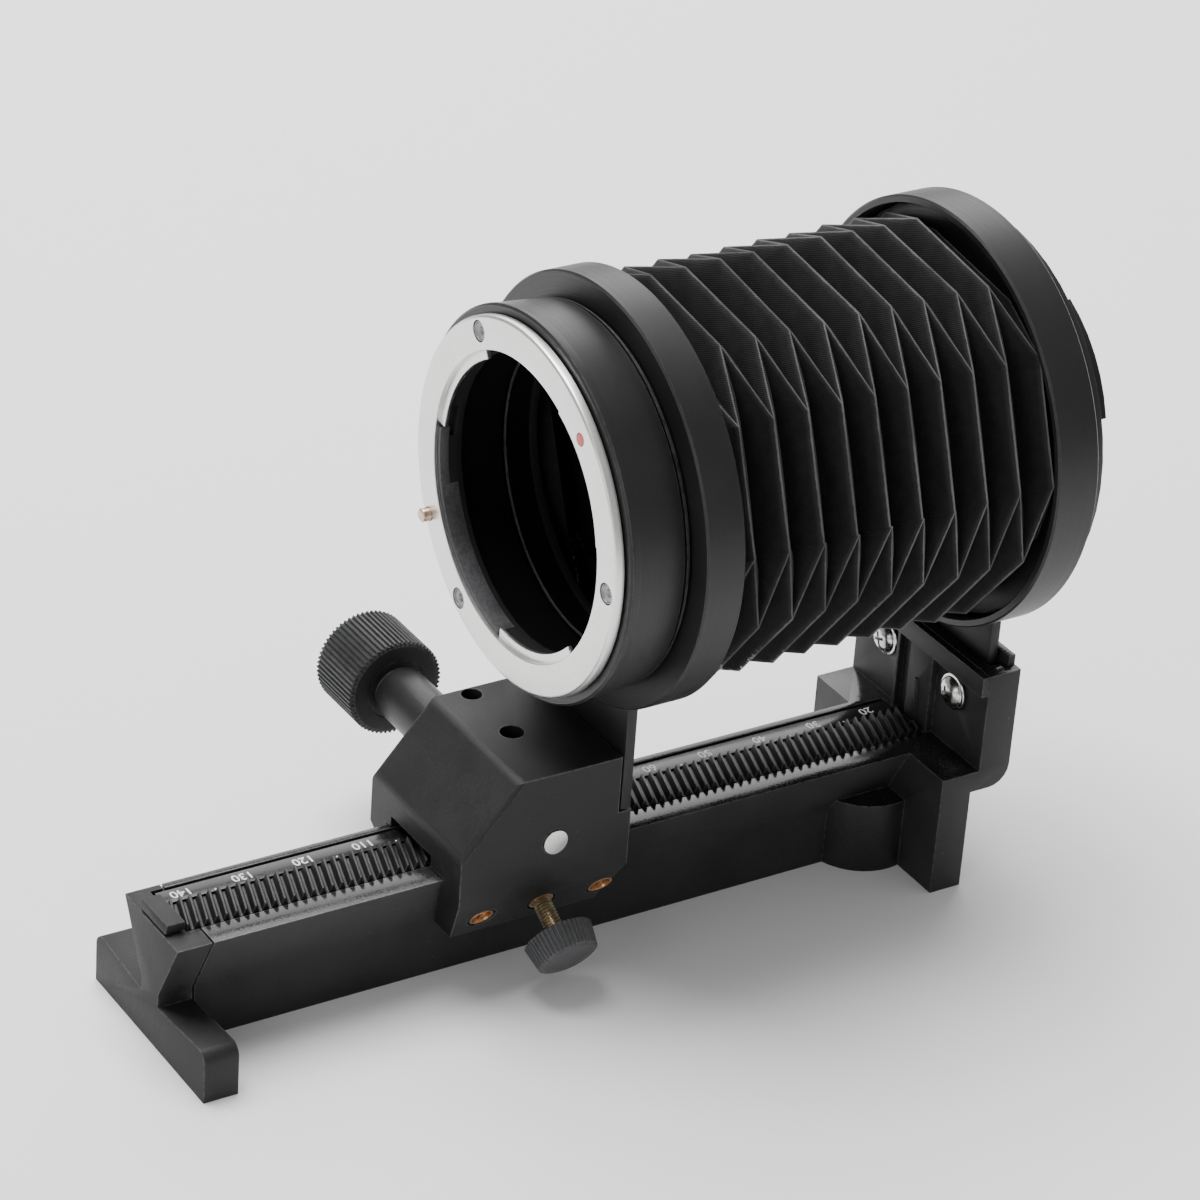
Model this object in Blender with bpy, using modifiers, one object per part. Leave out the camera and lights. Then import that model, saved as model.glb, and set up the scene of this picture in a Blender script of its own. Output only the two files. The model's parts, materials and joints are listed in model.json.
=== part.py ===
"""Macro extension bellows on a geared focusing rail.

Metres, +Z up. The rail and the optical axis run along Y, with the lens side
towards -Y and the big focusing knob towards -X. The origin is on the rail's
underside, halfway along the rail. Helper sizes are written in millimetres and
turned into metres by MM.
"""
from math import cos, pi, radians, sin, tan

import bmesh
import bpy
from mathutils import Matrix, Vector

MM = 0.001
GAP = 0.3                     # gap between pieces that touch
RUNNING = 0.08                # radial clearance of a shaft in its bearing

# rail section and length
RAIL_TOP_Z = 20.5
RAIL_HALF_TOP = 8.45
WAIST_Z = 9.5
WAIST_HALF = 2.65
RAIL_FRONT_Y = -69.3
RAIL_REAR_Y = 57.2            # front face of the rear foot
END_PIECE_DEPTH = 5.6
FOOT_HALF_WIDTH = 17.5
FOOT_TOP_Z = 8.4
FOOT_EDGE_RADIUS = 2.0
REAR_FOOT_DEPTH = 5.6

# rack, pinion and scale
GEAR_MODULE = 0.5
PINION_TEETH = 19
PITCH = pi * GEAR_MODULE
HELIX = tan(radians(17.5))     # the teeth lean this far forward per mm across
PINION_RADIUS = GEAR_MODULE * PINION_TEETH / 2
RACK_TIP_Z = RAIL_TOP_Z + 1.0
RACK_LOW_X = -3.0
RACK_HIGH_X = 3.9
RACK_FRONT_Y = -65.5
RACK_REAR_Y = 62.4
RACK_FLOOR_Z = RAIL_TOP_Z - 2.0
SCALE_LOW_X = -6.5
SCALE_TOP_Z = RAIL_TOP_Z + 0.1
CHANNEL_LOW_X = -7.3
CHANNEL_FRONT_Y = -65.8
STOP_HEIGHT = 1.8

# carriage
PINION_Y = -10.1
PINION_Z = RACK_TIP_Z - GEAR_MODULE + PINION_RADIUS
CARRIAGE_HALF = 13.4
CARRIAGE_FRONT_Y = -26.0
CARRIAGE_REAR_Y = 2.8
CARRIAGE_TOP_Z = RAIL_TOP_Z + 17.0
PARTING_Z = RAIL_TOP_Z - 2.0
CHEEK_LOW_Z = WAIST_Z
CHEEK_LOW_X = 7.9
SLANT_TOP_Y = -16.7
SLANT_LOW_Z = RAIL_TOP_Z + 6.2
PLATE_FRONT_Y = 0.95
PLATE_REAR_Y = 2.7
LEDGE_Z = RAIL_TOP_Z + 7.4
SHAFT_RADIUS = 2.0
SLEEVE_RADIUS = 4.4
SLEEVE_INNER_X = -5.6
SLEEVE_OUTER_X = -33.7
KNOB_INNER_X = -34.6
KNOB_OUTER_X = -46.0
KNOB_RADIUS = 8.0
SHAFT_NEAR_X = 13.7
TOP_HOLE_RADIUS = 1.85
SET_SCREW_X = -11.6
SET_SCREW_HOLE_RADIUS = 1.6

# clamping screw, square to the near cheek's sloping face
CLAMP_Y = -9.7
CLAMP_DOWN = 6.2              # distance below the parting line, along the slope
STUD_RADIUS = 1.45
INSERT_RADIUS = 2.0
INSERT_PITCH = 10.25
CLAMP_KNOB_FROM = 5.6
CLAMP_KNOB_TO = 10.0
CLAMP_KNOB_RADIUS = 5.4
CLAMP_KNOB_TIP_RADIUS = 4.8

# optical axis and front standard
AXIS_Z = RAIL_TOP_Z + 54.95
FRONT_RING_RADIUS = 32.5
FRONT_RING_FRONT_Y = -0.3
FRONT_RING_REAR_Y = 6.1
ADAPTER_FRONT_Y = -11.0
ADAPTER_REAR_Y = -0.6
ADAPTER_RADIUS = 29.4
ADAPTER_TAIL_RADIUS = 28.5
ADAPTER_BORE = 23.6
MOUNT_FRONT_Y = -12.7
MOUNT_RADIUS = 28.1
MOUNT_BORE = 23.0
LUG_RADIUS = 21.6
SCREW_CIRCLE = 25.8
SCREW_ANGLES = (118.3, -121.7, -1.7)
LUG_CENTRES = (146.0, 38.0, -70.0)
LUG_SPAN = 54.0
DOT_ANGLE = 49.3
DOT_CIRCLE = 25.1
PIN_ANGLE = -151.6
PIN_CIRCLE = 26.6
PIN_RADIUS = 1.05

# rear standard
REAR_RING_RADIUS = 33.2
REAR_RING_BORE = 32.0
REAR_RING_FRONT_Y = 59.7
REAR_RING_REAR_Y = 67.0
BRACKET_FRONT_Y = 62.8
BRACKET_POCKET_Y = 64.0
BRACKET_POCKET_TOP = RAIL_TOP_Z + 13.4
BRACKET_REAR_Y = 69.7
BRACKET_TOP_Z = RAIL_TOP_Z + 16.9
TONGUE_FRONT_Y = 66.1
TONGUE_REAR_Y = 67.8
TONGUE_HALF = 13.8
TONGUE_LOW_Z = RAIL_TOP_Z + 4.3
BRACKET_SCREW_X = 9.2
BRACKET_SCREW_Z = RAIL_TOP_Z + 10.0
FLANGE_RADIUS = 30.5
FLANGE_REAR_Y = 69.75
BAYONET_REAR_Y = 76.0
BAYONET_RADIUS = 21.5
BAYONET_LUG_RADIUS = 23.0
BAYONET_BORE = 20.0
BAYONET_LUG_CENTRES = (39.4, 159.4, -80.6)
BAYONET_LUG_SPAN = 48.0

# tripod boss
BOSS_Y = 55.2
BOSS_RADIUS = 8.8
BOSS_TOP_Z = 12.0
TRIPOD_BUSH_RADIUS = 4.8
TRIPOD_THREAD_RADIUS = 3.0

# bellows
BELLOWS_FRONT_Y = 6.4
BELLOWS_REAR_Y = 61.9
BELLOWS_RIDGE = 30.2
BELLOWS_VALLEY = 25.6
BELLOWS_WALL = 0.8
PLEATS = 9
FRAME_BORE = 24.4

ROUND_STEPS = 48


# ---------------------------------------------------------------- scene

def clear_scene():
    for item in list(bpy.data.objects):
        bpy.data.objects.remove(item, do_unlink=True)


def make_collection(name):
    collection = bpy.data.collections.new(name)
    bpy.context.scene.collection.children.link(collection)
    return collection


def make_material(name, colour, roughness, metallic=0.0):
    material = bpy.data.materials.new(name)
    material.use_nodes = True
    shader = material.node_tree.nodes["Principled BSDF"]
    shader.inputs["Base Color"].default_value = (*colour, 1.0)
    shader.inputs["Roughness"].default_value = roughness
    shader.inputs["Metallic"].default_value = metallic
    material.diffuse_color = (*colour, 1.0)
    return material


clear_scene()
PARTS = make_collection("macro_extension_bellows")
CUTTERS = make_collection("cutters")
MATERIALS = {
    "black_polymer": make_material("black_polymer", (0.012, 0.012, 0.013), 0.62),
    "black_anodised": make_material("black_anodised", (0.010, 0.010, 0.011), 0.38, 0.6),
    "gloss_rack": make_material("gloss_rack", (0.008, 0.008, 0.009), 0.30),
    "silver_mount": make_material("silver_mount", (0.62, 0.60, 0.59), 0.34, 1.0),
    "steel": make_material("steel", (0.55, 0.54, 0.53), 0.25, 1.0),
    "brass": make_material("brass", (0.72, 0.47, 0.26), 0.30, 1.0),
    "red_paint": make_material("red_paint", (0.45, 0.05, 0.05), 0.5),
    "bellows_cloth": make_material("bellows_cloth", (0.010, 0.010, 0.012), 0.85),
    "nylon": make_material("nylon", (0.60, 0.60, 0.56), 0.5),
}


def register(piece, name, material):
    """Put a piece in the parts collection with its material."""
    piece.name = name
    piece.data.name = name
    piece.data.materials.clear()
    piece.data.materials.append(MATERIALS[material])
    move_to(piece, PARTS)
    return piece


def move_to(piece, collection):
    for owner in list(piece.users_collection):
        owner.objects.unlink(piece)
    collection.objects.link(piece)


def guide(piece):
    """Turn a piece into a hidden operand for a Boolean."""
    move_to(piece, CUTTERS)
    piece.hide_render = True
    piece.display_type = "WIRE"
    return piece


def combine(piece, operand, operation):
    modifier = piece.modifiers.new(operation.lower(), "BOOLEAN")
    modifier.operation = operation
    modifier.solver = "EXACT"
    modifier.object = guide(operand)
    return piece


def cut(piece, *cutters):
    for cutter in cutters:
        combine(piece, cutter, "DIFFERENCE")
    return piece


def join(piece, *others):
    for other in others:
        combine(piece, other, "UNION")
    return piece


# --------------------------------------------------------------- shapes

def box(low, high):
    """Box between two corners, in millimetres."""
    size = [(b - a) * MM for a, b in zip(low, high)]
    centre = [(a + b) / 2 * MM for a, b in zip(low, high)]
    bpy.ops.mesh.primitive_cube_add(size=1, location=centre)
    piece = bpy.context.object
    piece.data.transform(Matrix.Diagonal((*size, 1.0)))
    return piece


def cylinder(radius, start, end, steps=ROUND_STEPS):
    """Cylinder between two points, in millimetres."""
    first = Vector(start) * MM
    last = Vector(end) * MM
    bpy.ops.mesh.primitive_cylinder_add(
        vertices=steps, radius=radius * MM, depth=(last - first).length,
        location=(first + last) / 2)
    piece = bpy.context.object
    piece.rotation_euler = (last - first).to_track_quat("Z", "Y").to_euler()
    piece.data.shade_smooth()
    piece.data.set_sharp_from_angle(angle=radians(35))
    return piece


def turned(profile, origin, axis, steps=ROUND_STEPS, closed=True):
    """Turn a profile of (radius, distance along the axis) points.

    The profile runs down the outer side, from the far end of the axis back
    to its start, and returns up the inner side when it is closed.
    """
    mesh = bpy.data.meshes.new("turned")
    points = [(radius * MM, 0.0, height * MM) for radius, height in profile]
    count = len(points)
    edges = [(i, i + 1) for i in range(count - 1)]
    if closed:
        edges.append((count - 1, 0))
    mesh.from_pydata(points, edges, [])
    piece = bpy.data.objects.new("turned", mesh)
    bpy.context.scene.collection.objects.link(piece)
    piece.location = Vector(origin) * MM
    piece.rotation_euler = Vector(axis).to_track_quat("Z", "Y").to_euler()
    screw = piece.modifiers.new("screw", "SCREW")
    screw.steps = steps
    screw.render_steps = steps
    screw.use_smooth_shade = True
    screw.use_merge_vertices = True
    screw.merge_threshold = 0.00001
    return piece


def ring(outer, inner, front_y, rear_y, steps=ROUND_STEPS, bevel=0.0):
    """Plain ring around the optical axis, with its front edge bevelled."""
    profile = [(outer - bevel, -front_y), (outer, -front_y - bevel),
               (outer, -rear_y), (inner, -rear_y), (inner, -front_y)]
    if not bevel:
        profile = profile[1:]
    return turned(profile, (0, 0, AXIS_Z), (0, -1, 0), steps)


def outline_solid(points, low, high, axis):
    """Extrude a closed outline along X or Y, as a filled 2D curve made a mesh.

    Along Y the outline is (x, z); along X it is (y, z).
    """
    curve = bpy.data.curves.new("outline", "CURVE")
    curve.dimensions = "2D"
    curve.fill_mode = "BOTH"
    curve.extrude = (high - low) / 2 * MM
    spline = curve.splines.new("POLY")
    spline.points.add(len(points) - 1)
    for point, (across, up) in zip(spline.points, points):
        point.co = (across * MM, up * MM, 0.0, 1.0)
    spline.use_cyclic_u = True
    flat = bpy.data.objects.new("outline", curve)
    bpy.context.scene.collection.objects.link(flat)
    middle = (low + high) / 2 * MM
    if axis == "Y":
        place = Matrix.Translation((0, middle, 0)) @ Matrix.Rotation(pi / 2, 4, "X")
    else:
        stand = Matrix.Rotation(pi / 2, 4, "Z") @ Matrix.Rotation(pi / 2, 4, "X")
        place = Matrix.Translation((middle, 0, 0)) @ stand
    flat.matrix_world = place
    bpy.context.view_layer.update()
    ready = flat.evaluated_get(bpy.context.evaluated_depsgraph_get())
    mesh = bpy.data.meshes.new_from_object(ready)
    shape = bmesh.new()
    shape.from_mesh(mesh)
    bmesh.ops.remove_doubles(shape, verts=shape.verts, dist=0.000001)
    bmesh.ops.recalc_face_normals(shape, faces=shape.faces)
    shape.to_mesh(mesh)
    shape.free()
    solid = bpy.data.objects.new("solid", mesh)
    bpy.context.scene.collection.objects.link(solid)
    solid.matrix_world = place
    bpy.data.objects.remove(flat, do_unlink=True)
    return solid


def arc(centre, radius, start, end, steps):
    """Points along an arc, angles in degrees."""
    angles = [radians(start + (end - start) * i / steps) for i in range(steps + 1)]
    return [(centre[0] + radius * cos(a), centre[1] + radius * sin(a)) for a in angles]


def on_circle(radius, angle, y):
    """Point at a radius and an angle about the optical axis."""
    turn = radians(angle)
    return (radius * cos(turn), y, AXIS_Z + radius * sin(turn))


def sector(inner, outer, centre, span, front_y, rear_y, steps=8):
    """Block between two radii, over an angle about the optical axis."""
    low = centre - span / 2
    high = centre + span / 2
    middle = (0, AXIS_Z)
    outside = arc(middle, outer, low, high, steps)
    inside = arc(middle, inner, high, low, steps)
    return outline_solid(outside + inside, front_y, rear_y, "Y")


# ----------------------------------------------------------------- rail

def rail_section(grow=0.0):
    """Dovetail section of the rail, down to its foot, as (x, z) points."""
    half_top = RAIL_HALF_TOP + grow
    half_waist = WAIST_HALF + grow
    right = [(half_waist, 0.0), (half_waist, WAIST_Z), (half_top, RAIL_TOP_Z + grow)]
    left = [(-x, z) for x, z in reversed(right)]
    return right + left


def channel_cutter():
    return box((CHANNEL_LOW_X, CHANNEL_FRONT_Y, RACK_FLOOR_Z - GAP),
               (RACK_HIGH_X + GAP, RACK_REAR_Y + GAP, RAIL_TOP_Z + 5))


def bracket_outline():
    """Side view of the rear foot and the bracket above it, as (y, z) points."""
    foot_rear = RAIL_REAR_Y + REAR_FOOT_DEPTH
    low = RAIL_TOP_Z - 3.5
    corner = 3.5
    outline = [(RAIL_REAR_Y, 0.0), (foot_rear, 0.0), (foot_rear, low)]
    outline += arc((BRACKET_REAR_Y - corner, low + corner), corner, -90, 0, 5)
    outline += [(BRACKET_REAR_Y, BRACKET_TOP_Z), (BRACKET_POCKET_Y, BRACKET_TOP_Z),
                (BRACKET_POCKET_Y, RAIL_TOP_Z), (RAIL_REAR_Y, RAIL_TOP_Z)]
    return outline


def bracket_pads():
    """Raised band over the screw pockets, and two pads between them with a groove."""
    front_y = BRACKET_FRONT_Y
    half = FOOT_HALF_WIDTH - 0.1
    band = box((-half, front_y, BRACKET_POCKET_TOP), (half, front_y + 3, BRACKET_TOP_Z - 0.1))
    pads = [box((low, front_y + 0.05, RAIL_TOP_Z - 1), (high, front_y + 3, BRACKET_POCKET_TOP + 1))
            for low, high in ((-1.5, 4.4), (-5.1, -4.5))]
    return [band] + pads


def build_rail():
    rail = outline_solid(rail_section(), RAIL_FRONT_Y + END_PIECE_DEPTH + GAP,
                         RAIL_REAR_Y + 2, "Y")
    rear = outline_solid(bracket_outline(), -FOOT_HALF_WIDTH, FOOT_HALF_WIDTH, "X")
    boss = cylinder(BOSS_RADIUS, (0, BOSS_Y, 0), (0, BOSS_Y, BOSS_TOP_Z), 40)
    rear_lip = box((-15.8, TONGUE_REAR_Y + GAP + 0.4, BRACKET_TOP_Z - 1),
                   (15.8, BRACKET_REAR_Y, BRACKET_TOP_Z + 1.7))
    rib = box((0.7, BRACKET_FRONT_Y - 0.4, RAIL_TOP_Z + 2.5),
              (1.3, BRACKET_FRONT_Y + 0.5, RAIL_TOP_Z + 8.2))
    join(rail, rear, boss, rear_lip, *bracket_pads())
    slot = box((-TONGUE_HALF - 1, TONGUE_FRONT_Y - GAP, TONGUE_LOW_Z - GAP),
               (TONGUE_HALF + 1, TONGUE_REAR_Y + GAP, BRACKET_TOP_Z + 5))
    bush_hole = cylinder(TRIPOD_BUSH_RADIUS + GAP, (0, BOSS_Y, -2), (0, BOSS_Y, 8.3), 32)
    cut(rail, channel_cutter(), slot, bush_hole)
    join(rail, rib)
    for side in (-1, 1):
        x = side * BRACKET_SCREW_X
        cut(rail, cylinder(1.5 + GAP, (x, 60, BRACKET_SCREW_Z), (x, 75, BRACKET_SCREW_Z), 24))
        cut(rail, hexagon(x, 68.6, 72, 2.75 + GAP))
    return register(rail, "rail", "black_polymer")


def hexagon(x, front_y, rear_y, radius):
    """Hexagonal prism on a bracket screw's axis."""
    return cylinder(radius, (x, front_y, BRACKET_SCREW_Z), (x, rear_y, BRACKET_SCREW_Z), 6)


def build_front_foot():
    """End piece: the rail's section with two wings that reach the ground."""
    rear_y = RAIL_FRONT_Y + END_PIECE_DEPTH
    foot = outline_solid(rail_section(), RAIL_FRONT_Y, rear_y, "Y")
    edge = FOOT_EDGE_RADIUS
    inner_top = FOOT_TOP_Z - 1.1
    right = [(FOOT_HALF_WIDTH, 0.0)]
    right += arc((FOOT_HALF_WIDTH - edge, FOOT_TOP_Z - edge), edge, 0, 85, 5)
    right += [(WAIST_HALF - 0.5, inner_top)]
    left = [(-x, z) for x, z in reversed(right)]
    wings = outline_solid(right + left, RAIL_FRONT_Y, rear_y, "Y")
    join(foot, wings)
    cut(foot, channel_cutter())
    return register(foot, "front_foot", "black_polymer")


def build_rack_stop():
    """Raised block that closes the rack's front end."""
    stop = outline_solid(
        [(RAIL_FRONT_Y + 0.1, RAIL_TOP_Z + GAP), (CHANNEL_FRONT_Y - 0.1, RAIL_TOP_Z + GAP),
         (CHANNEL_FRONT_Y - 0.1, RAIL_TOP_Z + STOP_HEIGHT),
         (RAIL_FRONT_Y + 0.4, RAIL_TOP_Z + STOP_HEIGHT)],
        RACK_LOW_X - 0.9, RACK_HIGH_X + 0.3, "X")
    return register(stop, "rack_stop", "black_polymer")


def rack_outline():
    """Side view of the rack's middle, as (y, z) points, with a space under the pinion.

    It runs on past both ends, for the lean of the teeth.
    """
    front_y = RACK_FRONT_Y - 3
    rear_y = RACK_REAR_Y + 3
    root_z = RACK_TIP_Z - 2.25 * GEAR_MODULE
    tip_half = 0.10 * PITCH
    root_half = tip_half + tan(radians(20)) * 2.25 * GEAR_MODULE
    outline = [(front_y, RACK_FLOOR_Z), (rear_y, RACK_FLOOR_Z), (rear_y, root_z)]
    first = int((front_y - PINION_Y) / PITCH)
    last = int((rear_y - PINION_Y) / PITCH) - 1
    for index in range(last, first, -1):
        tooth = PINION_Y + (index + 0.5) * PITCH
        outline += [(tooth + root_half, root_z), (tooth + tip_half, RACK_TIP_Z),
                    (tooth - tip_half, RACK_TIP_Z), (tooth - root_half, root_z)]
    outline.append((front_y, root_z))
    return outline


def lean(x):
    """How far the teeth have moved forward at one place across the rack."""
    return HELIX * (x - (RACK_LOW_X + RACK_HIGH_X) / 2)


def build_rack():
    """Rack with leaning teeth, trimmed square at both ends."""
    rack = outline_solid(rack_outline(), RACK_LOW_X, RACK_HIGH_X, "X")
    for vertex in rack.data.vertices:
        vertex.co.x -= HELIX * vertex.co.z
    for front_y, rear_y in ((RACK_FRONT_Y - 9, RACK_FRONT_Y), (RACK_REAR_Y, RACK_REAR_Y + 9)):
        cut(rack, box((RACK_LOW_X - 1, front_y, RACK_FLOOR_Z - 2), (RACK_HIGH_X + 1, rear_y, RAIL_TOP_Z + 5)))
    return register(rack, "rack", "gloss_rack")


def build_scale_strip():
    strip = box((SCALE_LOW_X, RACK_FRONT_Y, RACK_FLOOR_Z),
                (RACK_LOW_X - GAP, RACK_REAR_Y, SCALE_TOP_Z))
    return register(strip, "scale_strip", "gloss_rack")


def build_tripod_bush():
    bush = turned([(TRIPOD_BUSH_RADIUS, 8.0), (TRIPOD_BUSH_RADIUS, 0.2),
                   (TRIPOD_THREAD_RADIUS, 0.2), (TRIPOD_THREAD_RADIUS, 7.0),
                   (TRIPOD_THREAD_RADIUS, 8.0)], (0, BOSS_Y, 0), (0, 0, 1), 32)
    return register(bush, "tripod_bush", "steel")


# -------------------------------------------------------- rear standard

def build_rear_standard():
    """Deep ring with a tongue that drops into the rail's bracket."""
    profile = [(REAR_RING_RADIUS, -REAR_RING_FRONT_Y), (REAR_RING_RADIUS, -REAR_RING_REAR_Y),
               (21.0, -REAR_RING_REAR_Y), (21.0, -REAR_RING_REAR_Y + 2.2),
               (REAR_RING_BORE, -REAR_RING_REAR_Y + 2.2), (REAR_RING_BORE, -REAR_RING_FRONT_Y)]
    standard = turned(profile, (0, 0, AXIS_Z), (0, -1, 0))
    tongue = box((-TONGUE_HALF, TONGUE_FRONT_Y, TONGUE_LOW_Z),
                 (TONGUE_HALF, TONGUE_REAR_Y, AXIS_Z - 22))
    bore = cylinder(25.0, (0, 50, AXIS_Z), (0, 80, AXIS_Z))
    join(standard, tongue)
    cut(standard, bore)
    flange_seat = cylinder(FLANGE_RADIUS + GAP, (0, REAR_RING_REAR_Y + 0.15, AXIS_Z),
                           (0, 80, AXIS_Z))
    cut(standard, flange_seat)
    for side in (-1, 1):
        x = side * BRACKET_SCREW_X
        cut(standard, cylinder(1.5 + GAP, (x, 60, BRACKET_SCREW_Z), (x, 75, BRACKET_SCREW_Z), 24))
    for angle in rear_screw_angles():
        cut(standard, cylinder(0.7 + GAP, on_circle(27.4, angle, 60), on_circle(27.4, angle, 75), 16))
    return register(standard, "rear_standard", "black_anodised")


def rear_screw_angles():
    return [90 + 120 * i for i in range(3)]


def build_rear_mount():
    """Camera-side flange with a bayonet tube and three lugs."""
    front = REAR_RING_REAR_Y + GAP + 0.15
    profile = [(FLANGE_RADIUS, -front), (FLANGE_RADIUS, -FLANGE_REAR_Y),
               (BAYONET_RADIUS, -FLANGE_REAR_Y), (BAYONET_RADIUS, -BAYONET_REAR_Y),
               (BAYONET_BORE, -BAYONET_REAR_Y), (BAYONET_BORE, -front)]
    mount = turned(profile, (0, 0, AXIS_Z), (0, -1, 0))
    for centre in BAYONET_LUG_CENTRES:
        join(mount, sector(BAYONET_RADIUS - 0.8, BAYONET_LUG_RADIUS, centre,
                           BAYONET_LUG_SPAN, BAYONET_REAR_Y - 2.4, BAYONET_REAR_Y, 6))
    for angle in rear_screw_angles():
        cut(mount, cylinder(0.7 + GAP, on_circle(27.4, angle, 60), on_circle(27.4, angle, 75), 16))
        cut(mount, cylinder(1.6 + GAP, on_circle(27.4, angle, 68.6), on_circle(27.4, angle, 75), 20))
    return register(mount, "rear_mount", "black_anodised")


def build_rear_mount_screws():
    for number, angle in enumerate(rear_screw_angles(), start=1):
        screw = turned([(0.0, 0.8), (1.6, 0.8), (1.6, 0.0), (0.7, 0.0), (0.7, -3.0), (0.0, -3.0)],
                       on_circle(27.4, angle, 68.9), (0, 1, 0), 20, closed=False)
        register(screw, "rear_mount_screw_%d" % number, "steel")


def build_bracket_fasteners():
    """Two cross-head screws through the bracket, with a nut behind each."""
    for name, side in (("left", -1), ("right", 1)):
        x = side * BRACKET_SCREW_X
        face = BRACKET_POCKET_Y - 0.15
        screw = turned([(0.0, 1.75), (1.8, 1.75), (2.6, 1.35), (3.0, 0.6), (3.0, 0.0),
                        (1.5, 0.0), (1.5, -6.8), (0.0, -6.8)],
                       (x, face, BRACKET_SCREW_Z), (0, -1, 0), 24, closed=False)
        recess = [(-0.35, 1.5), (0.35, 1.5), (0.35, -1.5), (-0.35, -1.5)]
        for turn in (0, 1):
            half = [(b, a) if turn else (a, b) for a, b in recess]
            low = min(u for u, v in half)
            high = max(u for u, v in half)
            rise = max(v for u, v in half)
            cut(screw, box((x + low, face - 3, BRACKET_SCREW_Z - rise),
                           (x + high, face - 0.8, BRACKET_SCREW_Z + rise)))
        register(screw, "bracket_screw_" + name, "steel")
        nut = hexagon(x, 68.9, 71.0, 2.75)
        cut(nut, cylinder(1.5 + GAP, (x, 60, BRACKET_SCREW_Z), (x, 75, BRACKET_SCREW_Z), 24))
        register(nut, "bracket_nut_" + name, "steel")


# ------------------------------------------------------------- carriage

def slope_direction():
    """Unit vector down the near cheek's slope, and its outward normal."""
    down = Vector((CHEEK_LOW_X - CARRIAGE_HALF, 0, CHEEK_LOW_Z - PARTING_Z)).normalized()
    return down, Vector((-down.z, 0, down.x))


def on_slope(y, out=0.0):
    """Point on the near cheek's slope, or out from it along its normal."""
    down, normal = slope_direction()
    base = Vector((CARRIAGE_HALF, y, PARTING_Z)) + down * CLAMP_DOWN
    return base + normal * out


def carriage_section():
    """Outline across the carriage, open round the dovetail, as (x, z) points."""
    waist = WAIST_HALF + GAP
    top = RAIL_HALF_TOP + GAP
    right = [(waist, CHEEK_LOW_Z), (CHEEK_LOW_X, CHEEK_LOW_Z), (CARRIAGE_HALF, PARTING_Z),
             (CARRIAGE_HALF, CARRIAGE_TOP_Z)]
    left = [(-x, z) for x, z in reversed(right)]
    inside = [(-top, RAIL_TOP_Z + GAP), (top, RAIL_TOP_Z + GAP)]
    return right + left + inside


def carriage_slant_cutter():
    """Wedge that slopes the front face and a second one under its nose."""
    rise = CARRIAGE_TOP_Z - SLANT_LOW_Z
    run = SLANT_TOP_Y - CARRIAGE_FRONT_Y
    top = CARRIAGE_TOP_Z + rise * 0.3
    return outline_solid(
        [(CARRIAGE_FRONT_Y - 4, SLANT_LOW_Z - 4 * rise / run),
         (SLANT_TOP_Y + run * 0.3, top), (CARRIAGE_FRONT_Y - 4, top)],
        -CARRIAGE_HALF - 2, CARRIAGE_HALF + 2, "X")


def carriage_nose_cutters():
    """Slopes the cheeks back below the parting line, at both ends."""
    front = [(CARRIAGE_FRONT_Y - 1, PARTING_Z), (CARRIAGE_FRONT_Y, PARTING_Z),
             (CARRIAGE_FRONT_Y + 2.4, CHEEK_LOW_Z - 1), (CARRIAGE_FRONT_Y - 1, CHEEK_LOW_Z - 1)]
    rear = [(CARRIAGE_REAR_Y + 1, PARTING_Z), (CARRIAGE_REAR_Y, PARTING_Z),
            (CARRIAGE_REAR_Y - 2.0, CHEEK_LOW_Z - 1), (CARRIAGE_REAR_Y + 1, CHEEK_LOW_Z - 1)]
    half = CARRIAGE_HALF + 2
    return [outline_solid(side, -half, half, "X") for side in (front, rear)]


def build_carriage():
    carriage = outline_solid(carriage_section(), CARRIAGE_FRONT_Y, CARRIAGE_REAR_Y, "Y")
    rack_tunnel = box((CHANNEL_LOW_X, -40, RAIL_TOP_Z - 1), (RACK_HIGH_X + 0.8, 20, RACK_TIP_Z + 1.1))
    tip = PINION_RADIUS + GEAR_MODULE
    pinion_room = cylinder(tip + 0.6, (RACK_LOW_X - 0.6, PINION_Y, PINION_Z),
                           (RACK_HIGH_X + 0.6, PINION_Y, PINION_Z), 32)
    shaft_bore = cylinder(SHAFT_RADIUS + RUNNING, (0, PINION_Y, PINION_Z),
                          (20, PINION_Y, PINION_Z), 32)
    sleeve_bore = cylinder(SLEEVE_RADIUS + GAP, (-20, PINION_Y, PINION_Z),
                           (SLEEVE_INNER_X + 0.4, PINION_Y, PINION_Z), 32)
    link_bore = cylinder(SHAFT_RADIUS + 0.5, (-20, PINION_Y, PINION_Z),
                         (0, PINION_Y, PINION_Z), 32)
    plate_seat = box((-20, PLATE_FRONT_Y - GAP, LEDGE_Z), (20, 10, CARRIAGE_TOP_Z + 5))
    cut(carriage, carriage_slant_cutter(), *carriage_nose_cutters())
    cut(carriage, rack_tunnel, pinion_room, shaft_bore, sleeve_bore, link_bore, plate_seat)
    for x, low_z, radius in ((SET_SCREW_X, PINION_Z + 2, SET_SCREW_HOLE_RADIUS),
                             (0.3, PINION_Z + 4, TOP_HOLE_RADIUS)):
        cut(carriage, cylinder(radius, (x, PINION_Y - 0.5, low_z),
                               (x, PINION_Y - 0.5, CARRIAGE_TOP_Z + 3), 24))
    for step in (-1, 0, 1):
        y = CLAMP_Y + step * INSERT_PITCH
        cut(carriage, cylinder(INSERT_RADIUS + GAP, on_slope(y, -8), on_slope(y, 4), 28))
    for side in (-1, 1):
        x = side * 7.0
        cut(carriage, cylinder(1.2 + GAP, (x, -6, LEDGE_Z + 4.6), (x, 8, LEDGE_Z + 4.6), 20))
    return register(carriage, "carriage", "black_polymer")


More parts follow.
